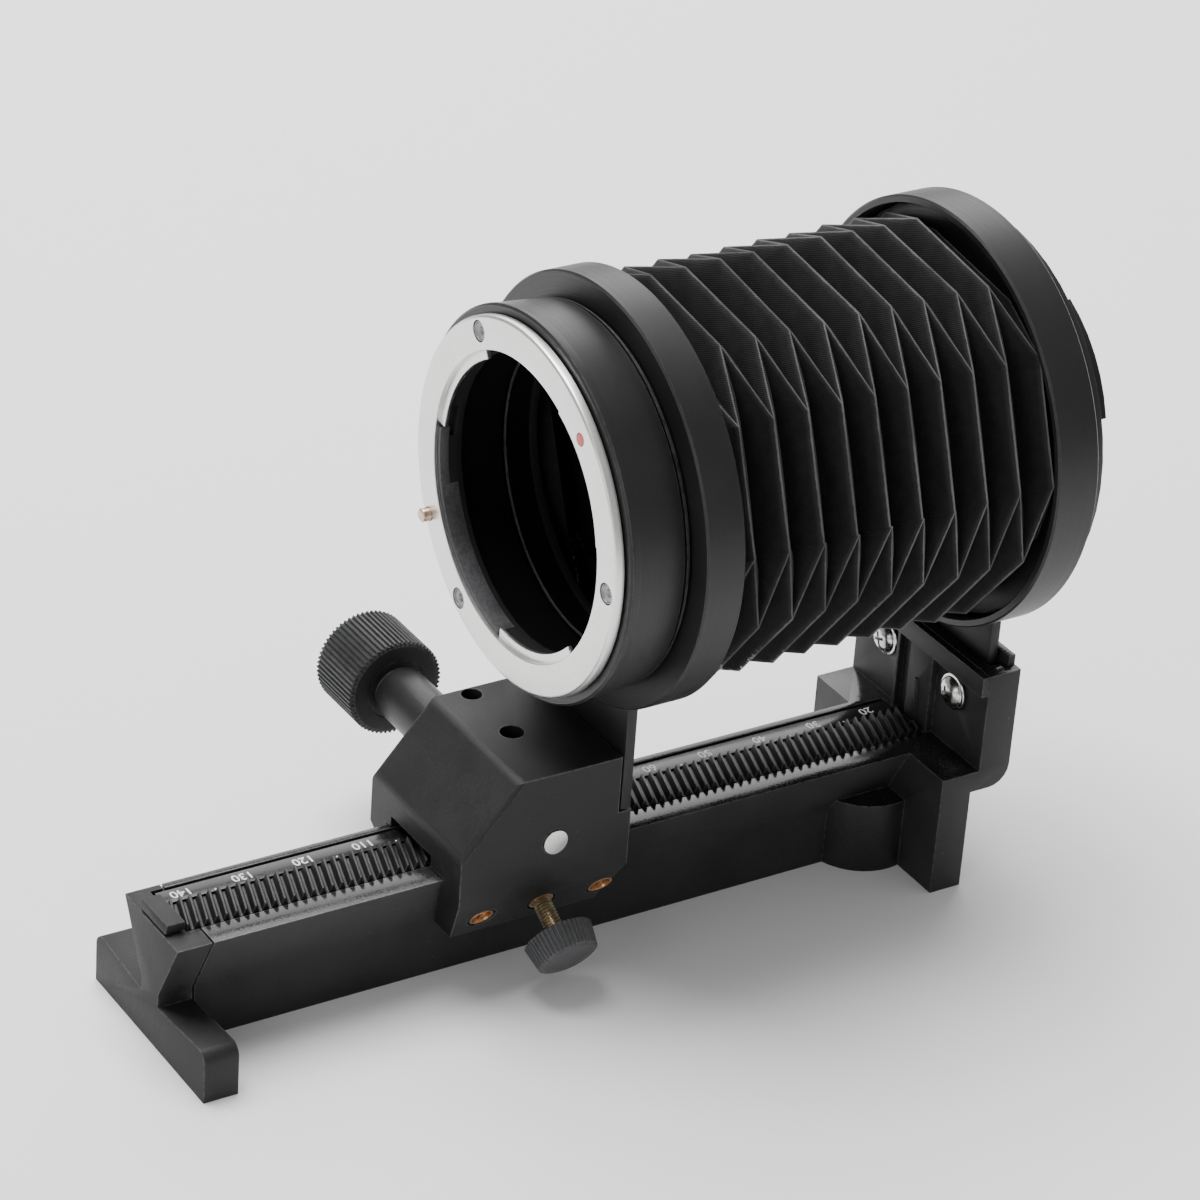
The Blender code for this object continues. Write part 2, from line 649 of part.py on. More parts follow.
def build_inserts():
    """Three brass bushes across the near cheek; the middle one takes the clamp."""
    normal = slope_direction()[1]
    for name, step in (("front", -1), ("middle", 0), ("rear", 1)):
        y = CLAMP_Y + step * INSERT_PITCH
        bore = STUD_RADIUS + RUNNING
        insert = turned([(INSERT_RADIUS, 4.5), (INSERT_RADIUS, 0.0), (bore, 0.0), (bore, 4.5)],
                        on_slope(y, -4.55), normal, 24)
        register(insert, "insert_" + name, "brass")
        if step:
            screw = cylinder(1.25, on_slope(y, -4.4), on_slope(y, -0.6), 20)
            slot = box((-0.25, -2, -0.5), (0.25, 2, 2))
            slot.location = on_slope(y, -0.6) * MM
            slot.rotation_euler = normal.to_track_quat("Z", "Y").to_euler()
            cut(screw, slot)
            register(screw, "gib_screw_" + name, "brass")


def build_sleeve():
    """Bearing tube that carries the pinion shaft out to the knob."""
    length = SLEEVE_INNER_X - SLEEVE_OUTER_X
    bore = SHAFT_RADIUS + RUNNING
    sleeve = turned([(SLEEVE_RADIUS - 0.3, length), (SLEEVE_RADIUS, length - 0.3),
                     (SLEEVE_RADIUS, 0.0), (bore, 0.0), (bore, length)],
                    (SLEEVE_INNER_X, PINION_Y, PINION_Z), (-1, 0, 0), 32)
    flat = box((SET_SCREW_X - 1.4, PINION_Y - 3, PINION_Z + SLEEVE_RADIUS - 0.6),
               (SET_SCREW_X + 1.4, PINION_Y + 2, PINION_Z + SLEEVE_RADIUS + 2))
    cut(sleeve, flat)
    register(sleeve, "bearing_sleeve", "black_anodised")
    screw = cylinder(1.0, (SET_SCREW_X, PINION_Y - 0.5, PINION_Z + SLEEVE_RADIUS - 0.3),
                     (SET_SCREW_X, PINION_Y - 0.5, PINION_Z + SLEEVE_RADIUS + 3.2), 16)
    register(screw, "sleeve_set_screw", "steel")


def build_front_standard():
    """Ring of the front standard with a plate that screws to the carriage."""
    profile = [(FRONT_RING_RADIUS - 0.4, -FRONT_RING_FRONT_Y),
               (FRONT_RING_RADIUS, -FRONT_RING_FRONT_Y - 0.4),
               (FRONT_RING_RADIUS, -FRONT_RING_REAR_Y), (31.2, -FRONT_RING_REAR_Y),
               (31.2, -FRONT_RING_REAR_Y + 1.9), (21.0, -FRONT_RING_REAR_Y + 1.9),
               (21.0, -FRONT_RING_FRONT_Y)]
    standard = turned(profile, (0, 0, AXIS_Z), (0, -1, 0))
    plate = box((-CARRIAGE_HALF, PLATE_FRONT_Y, LEDGE_Z + GAP),
                (CARRIAGE_HALF, PLATE_REAR_Y, AXIS_Z - 22))
    bore = cylinder(24.4, (0, -20, AXIS_Z), (0, 20, AXIS_Z))
    join(standard, plate)
    cut(standard, bore)
    for side in (-1, 1):
        x = side * 7.0
        cut(standard, cylinder(1.2 + GAP, (x, -6, LEDGE_Z + 4.6), (x, 8, LEDGE_Z + 4.6), 20))
    for angle in SCREW_ANGLES:
        cut(standard, cylinder(0.7 + GAP, on_circle(SCREW_CIRCLE, angle, -6),
                               on_circle(SCREW_CIRCLE, angle, 2.2), 16))
    return register(standard, "front_standard", "black_anodised")


def build_plate_screws():
    for name, side in (("left", -1), ("right", 1)):
        screw = turned([(0.0, 1.3), (2.5, 1.3), (2.5, 0.0), (1.2, 0.0), (1.2, -5.0), (0.0, -5.0)],
                       (side * 7.0, PLATE_REAR_Y + GAP, LEDGE_Z + 4.6), (0, 1, 0), 24, closed=False)
        register(screw, "plate_screw_" + name, "steel")


# ------------------------------------------------------------ lens mount

def pin_hole(radius, front_y, rear_y):
    return cylinder(radius, on_circle(PIN_CIRCLE, PIN_ANGLE, front_y),
                    on_circle(PIN_CIRCLE, PIN_ANGLE, rear_y), 20)


def build_adapter():
    """Barrel between the front standard and the bayonet ring."""
    lip = ADAPTER_FRONT_Y + 1.6
    profile = [(ADAPTER_RADIUS, -ADAPTER_FRONT_Y), (ADAPTER_RADIUS, -lip),
               (ADAPTER_TAIL_RADIUS, -ADAPTER_REAR_Y), (ADAPTER_BORE, -ADAPTER_REAR_Y),
               (ADAPTER_BORE, -ADAPTER_FRONT_Y - 3.0), (24.9, -ADAPTER_FRONT_Y - 3.0),
               (24.9, -ADAPTER_FRONT_Y)]
    adapter = turned(profile, (0, 0, AXIS_Z), (0, -1, 0))
    for angle in SCREW_ANGLES:
        cut(adapter, cylinder(0.7 + GAP, on_circle(SCREW_CIRCLE, angle, -15),
                              on_circle(SCREW_CIRCLE, angle, 2), 16))
    cut(adapter, pin_hole(PIN_RADIUS + 0.3, -15, -4.5))
    return register(adapter, "lens_adapter", "black_anodised")


def build_backing_ring():
    """Dark ring behind the bayonet that the lens's lugs press against."""
    backing = ring(24.6, 22.4, -10.6, -8.3, 36)
    gap = sector(21.0, 23.4, 172.0, 14.0, -12, -9.6, 3)
    cut(backing, gap)
    return register(backing, "mount_backing_ring", "black_anodised")


def build_mount_ring():
    """Bright bayonet ring with three lugs set back from its face."""
    rear = ADAPTER_FRONT_Y - GAP
    profile = [(MOUNT_RADIUS - 0.5, -MOUNT_FRONT_Y), (MOUNT_RADIUS, -MOUNT_FRONT_Y - 0.5),
               (MOUNT_RADIUS, -rear), (MOUNT_BORE, -rear), (MOUNT_BORE, -MOUNT_FRONT_Y)]
    mount = turned(profile, (0, 0, AXIS_Z), (0, -1, 0))
    for centre in LUG_CENTRES:
        join(mount, sector(LUG_RADIUS, MOUNT_BORE + 0.6, centre, LUG_SPAN,
                           MOUNT_FRONT_Y + 0.6, rear, 6))
    for angle in SCREW_ANGLES:
        cut(mount, cylinder(0.7 + GAP, on_circle(SCREW_CIRCLE, angle, -15),
                            on_circle(SCREW_CIRCLE, angle, -10), 16))
        cut(mount, cylinder(1.5 + 0.15, on_circle(SCREW_CIRCLE, angle, -15),
                            on_circle(SCREW_CIRCLE, angle, -11.9), 20))
    cut(mount, cylinder(0.95 + 0.1, on_circle(DOT_CIRCLE, DOT_ANGLE, -15),
                        on_circle(DOT_CIRCLE, DOT_ANGLE, -12.3), 16))
    cut(mount, pin_hole(PIN_RADIUS + RUNNING, -15, -10))
    return register(mount, "lens_mount_ring", "silver_mount")


def build_mount_screws():
    for number, angle in enumerate(SCREW_ANGLES, start=1):
        screw = turned([(0.0, 0.6), (1.5, 0.6), (1.5, 0.0), (0.7, 0.0), (0.7, -13.5), (0.0, -13.5)],
                       on_circle(SCREW_CIRCLE, angle, -12.05), (0, -1, 0), 20, closed=False)
        register(screw, "mount_screw_%d" % number, "steel")


def build_index_dot():
    dot = cylinder(0.95, on_circle(DOT_CIRCLE, DOT_ANGLE, -12.72),
                   on_circle(DOT_CIRCLE, DOT_ANGLE, -12.4), 16)
    return register(dot, "index_dot", "red_paint")


def build_lock_pin():
    pin = turned([(0.0, 1.4), (PIN_RADIUS - 0.2, 1.4), (PIN_RADIUS, 1.2), (PIN_RADIUS, -3.0),
                  (0.0, -3.0)],
                 on_circle(PIN_CIRCLE, PIN_ANGLE, MOUNT_FRONT_Y), (0, -1, 0), 20, closed=False)
    register(pin, "lens_lock_pin", "brass")
    spring_front = MOUNT_FRONT_Y + 3.3
    spring = turned([(0.95, -spring_front), (0.95, 4.9), (0.45, 4.9), (0.45, -spring_front)],
                    on_circle(PIN_CIRCLE, PIN_ANGLE, 0), (0, -1, 0), 16)
    register(spring, "lock_pin_spring", "steel")


# --------------------------------------------------------------- bellows

def build_bellows():
    """Pleated tube with an open bore, drawn as one zigzag wall."""
    span = BELLOWS_REAR_Y - BELLOWS_FRONT_Y
    outer = []
    inner = []
    for index in range(2 * PLEATS + 1):
        y = BELLOWS_FRONT_Y + span * index / (2 * PLEATS)
        radius = BELLOWS_RIDGE if index % 2 else BELLOWS_VALLEY
        outer.append((radius, -y))
        inner.append((radius - BELLOWS_WALL, -y))
    bellows = turned(outer + inner[::-1], (0, 0, AXIS_Z), (0, -1, 0), 24)
    return register(bellows, "bellows", "bellows_cloth")


def build_bellows_frames():
    front = ring(30.9, FRAME_BORE, 4.5, 5.9, 36)
    register(front, "bellows_front_frame", "black_anodised")
    rear = ring(31.6, FRAME_BORE + 0.9, 62.4, 64.4, 36)
    register(rear, "bellows_rear_frame", "black_anodised")


# --------------------------------------------------------------- moving

def gear_outline(turn):
    """Pinion teeth as (y, z) points, with a tooth straight down before its turn."""
    root = PINION_RADIUS - 1.25 * GEAR_MODULE
    tip = PINION_RADIUS + GEAR_MODULE
    step = 2 * pi / PINION_TEETH
    tip_half = 0.11 * step
    pitch_half = 0.21 * step
    root_half = 0.29 * step
    points = []
    for tooth in range(PINION_TEETH):
        middle = -pi / 2 + tooth * step + turn
        for offset, radius in ((-root_half, root), (-pitch_half, PINION_RADIUS), (-tip_half, tip),
                               (tip_half, tip), (pitch_half, PINION_RADIUS), (root_half, root)):
            angle = middle + offset
            points.append((PINION_Y + radius * cos(angle), PINION_Z + radius * sin(angle)))
    return points


def helical_pinion(steps=6):
    """Skin a turned gear outline at places across the rack, and fan both ends shut."""
    shape = bmesh.new()
    rings = []
    for i in range(steps + 1):
        x = RACK_LOW_X + (RACK_HIGH_X - RACK_LOW_X) * i / steps
        outline = gear_outline(-lean(x) / PINION_RADIUS)
        rings.append([shape.verts.new((x * MM, y * MM, z * MM)) for y, z in outline])
    middles = [shape.verts.new((x * MM, PINION_Y * MM, PINION_Z * MM)) for x in (RACK_LOW_X, RACK_HIGH_X)]
    count = len(rings[0])
    for i in range(count):
        j = (i + 1) % count
        for this, following in zip(rings, rings[1:]):
            shape.faces.new((this[i], this[j], following[j]))
            shape.faces.new((this[i], following[j], following[i]))
        shape.faces.new((middles[0], rings[0][j], rings[0][i]))
        shape.faces.new((middles[1], rings[-1][i], rings[-1][j]))
    bmesh.ops.recalc_face_normals(shape, faces=shape.faces)
    mesh = bpy.data.meshes.new("solid")
    shape.to_mesh(mesh)
    shape.free()
    solid = bpy.data.objects.new("solid", mesh)
    bpy.context.scene.collection.objects.link(solid)
    return solid


def build_pinion_shaft():
    """Pinion cut in one with its shaft; the near end shows as a bright disc."""
    shaft = helical_pinion()
    rod = cylinder(SHAFT_RADIUS, (KNOB_OUTER_X + 2.5, PINION_Y, PINION_Z),
                   (SHAFT_NEAR_X, PINION_Y, PINION_Z), 32)
    join(shaft, rod)
    return register(shaft, "pinion_shaft", "steel")


def build_focus_knob():
    """Plain stand-in for the knurled knob, bored for the shaft."""
    depth = KNOB_INNER_X - KNOB_OUTER_X
    bore = SHAFT_RADIUS + GAP
    knob = turned([(0.0, depth), (KNOB_RADIUS - 0.7, depth), (KNOB_RADIUS, depth - 0.7),
                   (KNOB_RADIUS, 0.6), (KNOB_RADIUS - 0.6, 0.0), (bore, 0.0),
                   (bore, depth - 2.2), (0.0, depth - 2.2)],
                  (KNOB_INNER_X, PINION_Y, PINION_Z), (-1, 0, 0), 40, closed=False)
    return register(knob, "focus_knob", "black_polymer")


def build_friction_washer():
    washer = turned([(3.9, 0.35), (3.9, 0.0), (SHAFT_RADIUS + GAP, 0.0), (SHAFT_RADIUS + GAP, 0.35)],
                    (SLEEVE_OUTER_X - 0.27, PINION_Y, PINION_Z), (-1, 0, 0), 32)
    return register(washer, "friction_washer", "nylon")


def build_clamp():
    """Clamping screw: a knurled knob on a brass stud, with a pad at its tip."""
    normal = slope_direction()[1]
    stud = cylinder(STUD_RADIUS, on_slope(CLAMP_Y, -3.2), on_slope(CLAMP_Y, CLAMP_KNOB_TO - 1.5), 24)
    register(stud, "clamp_stud", "brass")
    depth = CLAMP_KNOB_TO - CLAMP_KNOB_FROM
    knob = turned([(0.0, depth), (CLAMP_KNOB_TIP_RADIUS - 0.5, depth),
                   (CLAMP_KNOB_TIP_RADIUS, depth - 0.4), (CLAMP_KNOB_RADIUS, 0.4),
                   (CLAMP_KNOB_RADIUS - 0.4, 0.0), (STUD_RADIUS + GAP, 0.0),
                   (STUD_RADIUS + GAP, depth - 1.2), (0.0, depth - 1.2)],
                  on_slope(CLAMP_Y, CLAMP_KNOB_FROM), normal, 32, closed=False)
    register(knob, "clamp_knob", "black_polymer")
    pad = cylinder(1.4, on_slope(CLAMP_Y, -4.1), on_slope(CLAMP_Y, -3.5), 20)
    register(pad, "clamp_pad", "nylon")


def build_all():
    build_rail()
    build_front_foot()
    build_rack_stop()
    build_rack()
    build_scale_strip()
    build_tripod_bush()
    build_rear_standard()
    build_rear_mount()
    build_rear_mount_screws()
    build_bracket_fasteners()
    build_carriage()
    build_inserts()
    build_sleeve()
    build_front_standard()
    build_plate_screws()
    build_adapter()
    build_backing_ring()
    build_mount_ring()
    build_mount_screws()
    build_index_dot()
    build_lock_pin()
    build_bellows()
    build_bellows_frames()
    build_pinion_shaft()
    build_focus_knob()
    build_friction_washer()
    build_clamp()


build_all()
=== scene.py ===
import json
import math

import bpy
import bmesh
from mathutils import Matrix, Vector


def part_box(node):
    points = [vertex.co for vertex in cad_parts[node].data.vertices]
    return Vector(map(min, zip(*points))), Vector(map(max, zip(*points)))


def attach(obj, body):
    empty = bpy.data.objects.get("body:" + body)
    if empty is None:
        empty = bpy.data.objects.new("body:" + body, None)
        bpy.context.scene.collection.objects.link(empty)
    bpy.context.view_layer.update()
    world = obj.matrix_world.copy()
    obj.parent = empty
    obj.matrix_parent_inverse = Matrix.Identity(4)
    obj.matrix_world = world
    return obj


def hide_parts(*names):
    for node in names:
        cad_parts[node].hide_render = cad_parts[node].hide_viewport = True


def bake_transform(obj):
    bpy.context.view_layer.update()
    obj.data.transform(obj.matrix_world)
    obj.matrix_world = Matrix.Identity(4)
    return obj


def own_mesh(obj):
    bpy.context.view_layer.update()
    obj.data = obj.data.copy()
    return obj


# Macro extension bellows: toothed rail, geared carriage, pleated cloth, lens and camera bayonets.
# Sizes in the dictionaries are millimetres; mm turns them into metres.

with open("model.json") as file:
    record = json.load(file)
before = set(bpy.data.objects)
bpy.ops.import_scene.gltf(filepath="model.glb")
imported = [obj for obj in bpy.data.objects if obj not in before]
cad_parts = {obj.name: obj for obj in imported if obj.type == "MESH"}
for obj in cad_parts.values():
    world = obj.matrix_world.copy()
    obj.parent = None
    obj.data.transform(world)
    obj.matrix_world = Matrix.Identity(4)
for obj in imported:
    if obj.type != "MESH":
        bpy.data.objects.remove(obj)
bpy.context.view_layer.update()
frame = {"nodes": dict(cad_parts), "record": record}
nodes = frame["nodes"]
nodeBody = {n: b for b, names in frame["record"]["behaviour"]["bodies"].items() for n in names}
mm = 0.001
axisHeight = (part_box("lens_mount_ring")[0][2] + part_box("lens_mount_ring")[1][2]) / 2 / mm
print("frame loaded,", len(nodes), "nodes")


# ---- small helpers

def deselectAll():
    if bpy.context.object and bpy.context.object.mode != "OBJECT":
        bpy.ops.object.mode_set(mode="OBJECT")
    bpy.ops.object.select_all(action="DESELECT")


def pick(piece):
    deselectAll()
    piece.select_set(True)
    bpy.context.view_layer.objects.active = piece


def edit(piece):
    pick(piece)
    bpy.ops.object.mode_set(mode="EDIT")
    bpy.ops.mesh.select_all(action="DESELECT")


def leaveEdit():
    bpy.ops.object.mode_set(mode="OBJECT")


def selectBy(piece, kind, test):
    # selects vertices or faces of the piece in edit mode by a test on their place
    mesh = bmesh.from_edit_mesh(piece.data)
    mesh.select_mode = {"VERT"} if kind == "verts" else {"FACE"}
    bpy.context.tool_settings.mesh_select_mode = (kind == "verts", False, kind == "faces")
    for item in mesh.verts:
        item.select = False
    for item in mesh.faces:
        item.select = False
    for item in getattr(mesh, kind):
        if test(item):
            item.select_set(True)
    mesh.select_flush_mode()
    bmesh.update_edit_mesh(piece.data)


def applyModifier(piece, kind, **values):
    pick(piece)
    modifier = piece.modifiers.new(kind.lower(), kind)
    for key, value in values.items():
        setattr(modifier, key, value)
    bpy.ops.object.modifier_apply(modifier=modifier.name)


def place(piece, origin, axis):
    # turns local Z to axis and moves the mesh, so that the object stays at the origin
    turn = Vector(axis).to_track_quat("Z", "Y").to_matrix().to_4x4()
    piece.data.transform(Matrix.Translation(Vector(origin) * mm) @ turn)


def smoothBy(piece, degrees=30):
    pick(piece)
    bpy.ops.object.shade_smooth_by_angle(angle=math.radians(degrees))


def finishPiece(piece, name, material, body, stands=()):
    piece.name = name
    piece.data.name = name
    piece.data.materials.clear()
    piece.data.materials.append(material)
    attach(piece, body)
    if stands:
        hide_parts(*stands)
    return piece


def spun(profile, origin, axis, steps=96, closed=True):
    # one corner of a plane is walked along (radius, height) points, then spun about Z
    deselectAll()
    bpy.ops.mesh.primitive_plane_add(size=2 * mm, location=(0, 0, 0))
    piece = bpy.context.object
    edit(piece)
    selectBy(piece, "verts", lambda v: v.index > 0)
    bpy.ops.mesh.delete(type="VERT")
    first = Vector((profile[0][0], 0, profile[0][1])) * mm
    bpy.ops.mesh.select_all(action="SELECT")
    start = bmesh.from_edit_mesh(piece.data).verts
    start.ensure_lookup_table()
    bpy.ops.transform.translate(value=first - start[0].co)
    for before, after in zip(profile, profile[1:]):
        step = Vector((after[0] - before[0], 0, after[1] - before[1])) * mm
        bpy.ops.mesh.extrude_vertices_move(TRANSFORM_OT_translate={"value": step})
    if closed:
        selectBy(piece, "verts", lambda v: len(v.link_edges) == 1)
        bpy.ops.mesh.edge_face_add()
    bpy.ops.mesh.select_all(action="SELECT")
    bpy.ops.mesh.spin(steps=steps, angle=2 * math.pi, center=(0, 0, 0), axis=(0, 0, 1))
    bpy.ops.mesh.select_all(action="SELECT")
    bpy.ops.mesh.remove_doubles(threshold=0.000002)
    bpy.ops.mesh.normals_make_consistent(inside=False)
    leaveEdit()
    place(piece, origin, axis)
    return piece


def softenedCopy(node, width, segments=2, angle=32):
    # merged copy of a CAD solid with its sharp edges broken
    piece = bpy.data.objects.new("copy", nodes[node].data.copy())
    bpy.context.scene.collection.objects.link(piece)
    edit(piece)
    bpy.ops.mesh.select_all(action="SELECT")
    bpy.ops.mesh.remove_doubles(threshold=0.000002)
    bpy.ops.mesh.dissolve_limited(angle_limit=math.radians(0.4))
    leaveEdit()
    if piece.data.has_custom_normals:
        bpy.ops.mesh.customdata_custom_splitnormals_clear()
    if width:
        applyModifier(piece, "BEVEL", width=width * mm, segments=segments, limit_method="ANGLE",
                      angle_limit=math.radians(angle), use_clamp_overlap=True,
                      miter_outer="MITER_ARC", harden_normals=False)
    smoothBy(piece, angle)
    return piece


# ---- shader groups, shared by several materials

def newGroup(name, inputs, outputs):
    group = bpy.data.node_groups.new(name, "ShaderNodeTree")
    for label, value in inputs.items():
        kind = "NodeSocketColor" if isinstance(value, tuple) else "NodeSocketFloat"
        group.interface.new_socket(label, in_out="INPUT", socket_type=kind).default_value = value
    for label, kind in outputs.items():
        group.interface.new_socket(label, in_out="OUTPUT", socket_type=kind)
    return group, group.nodes.new("NodeGroupInput"), group.nodes.new("NodeGroupOutput")


def link(tree, source, target):
    tree.links.new(source, target)


def calc(tree, operation, first, second=None, third=None):
    # a Math node from sockets or plain numbers
    node = tree.nodes.new("ShaderNodeMath")
    node.operation = operation
    for index, value in enumerate((first, second, third)):
        if value is None:
            continue
        if isinstance(value, (int, float)):
            node.inputs[index].default_value = value
        else:
            tree.links.new(value, node.inputs[index])
    return node.outputs[0]


def ramp(tree, value, low, high, outLow=0.0, outHigh=1.0):
    node = tree.nodes.new("ShaderNodeMapRange")
    node.interpolation_type = "SMOOTHSTEP"
    tree.links.new(value, node.inputs["Value"])
    node.inputs["From Min"].default_value = low
    node.inputs["From Max"].default_value = high
    node.inputs["To Min"].default_value = outLow
    node.inputs["To Max"].default_value = outHigh
    return node.outputs[0]


def noise(tree, vector, scale, detail=3.0, roughness=0.55):
    node = tree.nodes.new("ShaderNodeTexNoise")
    node.inputs["Scale"].default_value = scale
    node.inputs["Detail"].default_value = detail
    node.inputs["Roughness"].default_value = roughness
    tree.links.new(vector, node.inputs["Vector"])
    return node.outputs["Fac"]


def mixColour(tree, factor, first, second):
    node = tree.nodes.new("ShaderNodeMix")
    node.data_type = "RGBA"
    sockets = [s for s in node.inputs if s.name in ("A", "B") and s.type == "RGBA"]
    factorSocket = [s for s in node.inputs if s.name == "Factor" and s.type == "VALUE"][0]
    for socket, value in ((factorSocket, factor), (sockets[0], first), (sockets[1], second)):
        if isinstance(value, (int, float, tuple)):
            socket.default_value = value
        else:
            tree.links.new(value, socket)
    return [s for s in node.outputs if s.type == "RGBA"][0]


def buildEdgeWear():
    # mask that is 1 on rubbed corners, broken up by noise
    group, inner, outer = newGroup("edgeWear", {"Width": 0.0004, "Amount": 1.0, "Break up": 900.0},
                                   {"Mask": "NodeSocketFloat"})
    rounded = group.nodes.new("ShaderNodeBevel")
    rounded.samples = 6
    link(group, inner.outputs["Width"], rounded.inputs["Radius"])
    surface = group.nodes.new("ShaderNodeNewGeometry")
    dot = group.nodes.new("ShaderNodeVectorMath")
    dot.operation = "DOT_PRODUCT"
    link(group, rounded.outputs["Normal"], dot.inputs[0])
    link(group, surface.outputs["Normal"], dot.inputs[1])
    turned = calc(group, "SUBTRACT", 1.0, dot.outputs["Value"])
    coords = group.nodes.new("ShaderNodeTexCoord")
    grain = group.nodes.new("ShaderNodeTexNoise")
    grain.inputs["Detail"].default_value = 4.0
    link(group, coords.outputs["Object"], grain.inputs["Vector"])
    link(group, inner.outputs["Break up"], grain.inputs["Scale"])
    broken = calc(group, "MULTIPLY", turned, ramp(group, grain.outputs["Fac"], 0.35, 0.65, 0.25, 1.7))
    mask = ramp(group, broken, 0.015, 0.14)
    link(group, calc(group, "MULTIPLY", mask, inner.outputs["Amount"]), outer.inputs["Mask"])
    return group


def buildMoulding():
    # fine texture of a moulded or blasted surface, with slow blotches
    group, inner, outer = newGroup("mouldedGrain", {"Scale": 2600.0},
                                   {"Height": "NodeSocketFloat", "Shade": "NodeSocketFloat"})
    coords = group.nodes.new("ShaderNodeTexCoord")
    fine = group.nodes.new("ShaderNodeTexNoise")
    fine.inputs["Detail"].default_value = 3.0
    link(group, coords.outputs["Object"], fine.inputs["Vector"])
    link(group, inner.outputs["Scale"], fine.inputs["Scale"])
    slow = noise(group, coords.outputs["Object"], 75.0, 3.0)
    link(group, fine.outputs["Fac"], outer.inputs["Height"])
    both = calc(group, "ADD", calc(group, "MULTIPLY", fine.outputs["Fac"], 0.4),
                calc(group, "MULTIPLY", slow, 0.6))
    link(group, both, outer.inputs["Shade"])
    return group


def buildDust():
    # sparse pale specks
    group, inner, outer = newGroup("dustSpecks", {"Scale": 420.0, "Amount": 0.5},
                                   {"Mask": "NodeSocketFloat"})
    coords = group.nodes.new("ShaderNodeTexCoord")
    cells = group.nodes.new("ShaderNodeTexVoronoi")
    link(group, coords.outputs["Object"], cells.inputs["Vector"])
    link(group, inner.outputs["Scale"], cells.inputs["Scale"])
    near = ramp(group, cells.outputs["Distance"], 0.035, 0.09, 1.0, 0.0)
    patches = ramp(group, noise(group, coords.outputs["Object"], 160.0, 2.0), 0.52, 0.66)
    mask = calc(group, "MULTIPLY", calc(group, "MULTIPLY", near, patches), inner.outputs["Amount"])
    link(group, mask, outer.inputs["Mask"])
    return group


def buildTurnedLines():
    # fine rings round an axis along Y at a given height, as a lathe leaves; Bore is 1 inside the tube
    group, inner, outer = newGroup("turnedLines", {"Height": axisHeight * mm, "Density": 5200.0},
                                   {"Line": "NodeSocketFloat", "Bore": "NodeSocketFloat"})
    coords = group.nodes.new("ShaderNodeTexCoord")
    apart = group.nodes.new("ShaderNodeSeparateXYZ")
    link(group, coords.outputs["Object"], apart.inputs[0])
    lift = calc(group, "SUBTRACT", apart.outputs["Z"], inner.outputs["Height"])
    square = calc(group, "ADD", calc(group, "MULTIPLY", apart.outputs["X"], apart.outputs["X"]),
                  calc(group, "MULTIPLY", lift, lift))
    radius = calc(group, "SQRT", square)
    both = calc(group, "ADD", radius, calc(group, "MULTIPLY", apart.outputs["Y"], 0.83))
    line = group.nodes.new("ShaderNodeTexNoise")
    line.noise_dimensions = "1D"
    line.inputs["Detail"].default_value = 4.0
    link(group, both, line.inputs["W"])
    link(group, inner.outputs["Density"], line.inputs["Scale"])
    link(group, line.outputs["Fac"], outer.inputs["Line"])
    link(group, ramp(group, radius, 0.02485, 0.02505, 1.0, 0.0), outer.inputs["Bore"])
    return group


def buildTwill():
    # diagonal weave in the cloth's own UV, which is in metres
    group, inner, outer = newGroup("twillWeave", {"Threads": 2000.0, "Slant": 0.62},
                                   {"Height": "NodeSocketFloat", "Shade": "NodeSocketFloat"})
    cloth = group.nodes.new("ShaderNodeUVMap")
    cloth.uv_map = "flatCloth"
    apart = group.nodes.new("ShaderNodeSeparateXYZ")
    link(group, cloth.outputs["UV"], apart.inputs[0])
    across = calc(group, "MULTIPLY", apart.outputs["X"], inner.outputs["Threads"])
    along = calc(group, "MULTIPLY", apart.outputs["Y"], inner.outputs["Threads"])
    slanted = calc(group, "ADD", calc(group, "MULTIPLY", across, inner.outputs["Slant"]), along)
    rib = calc(group, "SINE", calc(group, "MULTIPLY", slanted, 2 * math.pi))
    thread = calc(group, "SINE", calc(group, "MULTIPLY", across, 2 * math.pi * 2.0))
    woven = calc(group, "ADD", calc(group, "MULTIPLY", rib, 0.5), calc(group, "MULTIPLY", thread, 0.22))
    link(group, calc(group, "ADD", woven, 0.5), outer.inputs["Height"])
    fuzz = noise(group, cloth.outputs["UV"], 500.0, 4.0)
    link(group, calc(group, "ADD", calc(group, "MULTIPLY", woven, 0.35), fuzz), outer.inputs["Shade"])
    return group


groups = {"edgeWear": buildEdgeWear(), "mouldedGrain": buildMoulding(), "dustSpecks": buildDust(),
          "turnedLines": buildTurnedLines(), "twillWeave": buildTwill()}


def useGroup(tree, name, **values):
    node = tree.nodes.new("ShaderNodeGroup")
    node.node_tree = groups[name]
    for key, value in values.items():
        node.inputs[key.replace("_", " ")].default_value = value
    return node


def startMaterial(name, roughness, metallic=0.0, **sockets):
    material = bpy.data.materials.new(name)
    material.use_nodes = True
    tree = material.node_tree
    shader = tree.nodes["Principled BSDF"]
    shader.inputs["Roughness"].default_value = roughness
    shader.inputs["Metallic"].default_value = metallic
    for key, value in sockets.items():
        shader.inputs[key.replace("_", " ")].default_value = value
    return material, tree, shader


def bumpFrom(tree, height, strength, distance):
    bump = tree.nodes.new("ShaderNodeBump")
    bump.inputs["Strength"].default_value = strength
    bump.inputs["Distance"].default_value = distance
    link(tree, height, bump.inputs["Height"])
    return bump.outputs["Normal"]


# ---- materials

mouldedValues = {"dark": 0.0068, "light": 0.0150, "worn": (0.085, 0.085, 0.087, 1),
                 "dust": (0.13, 0.13, 0.13, 1)}


def grey(value):
    return (value, value, value * 1.05, 1)


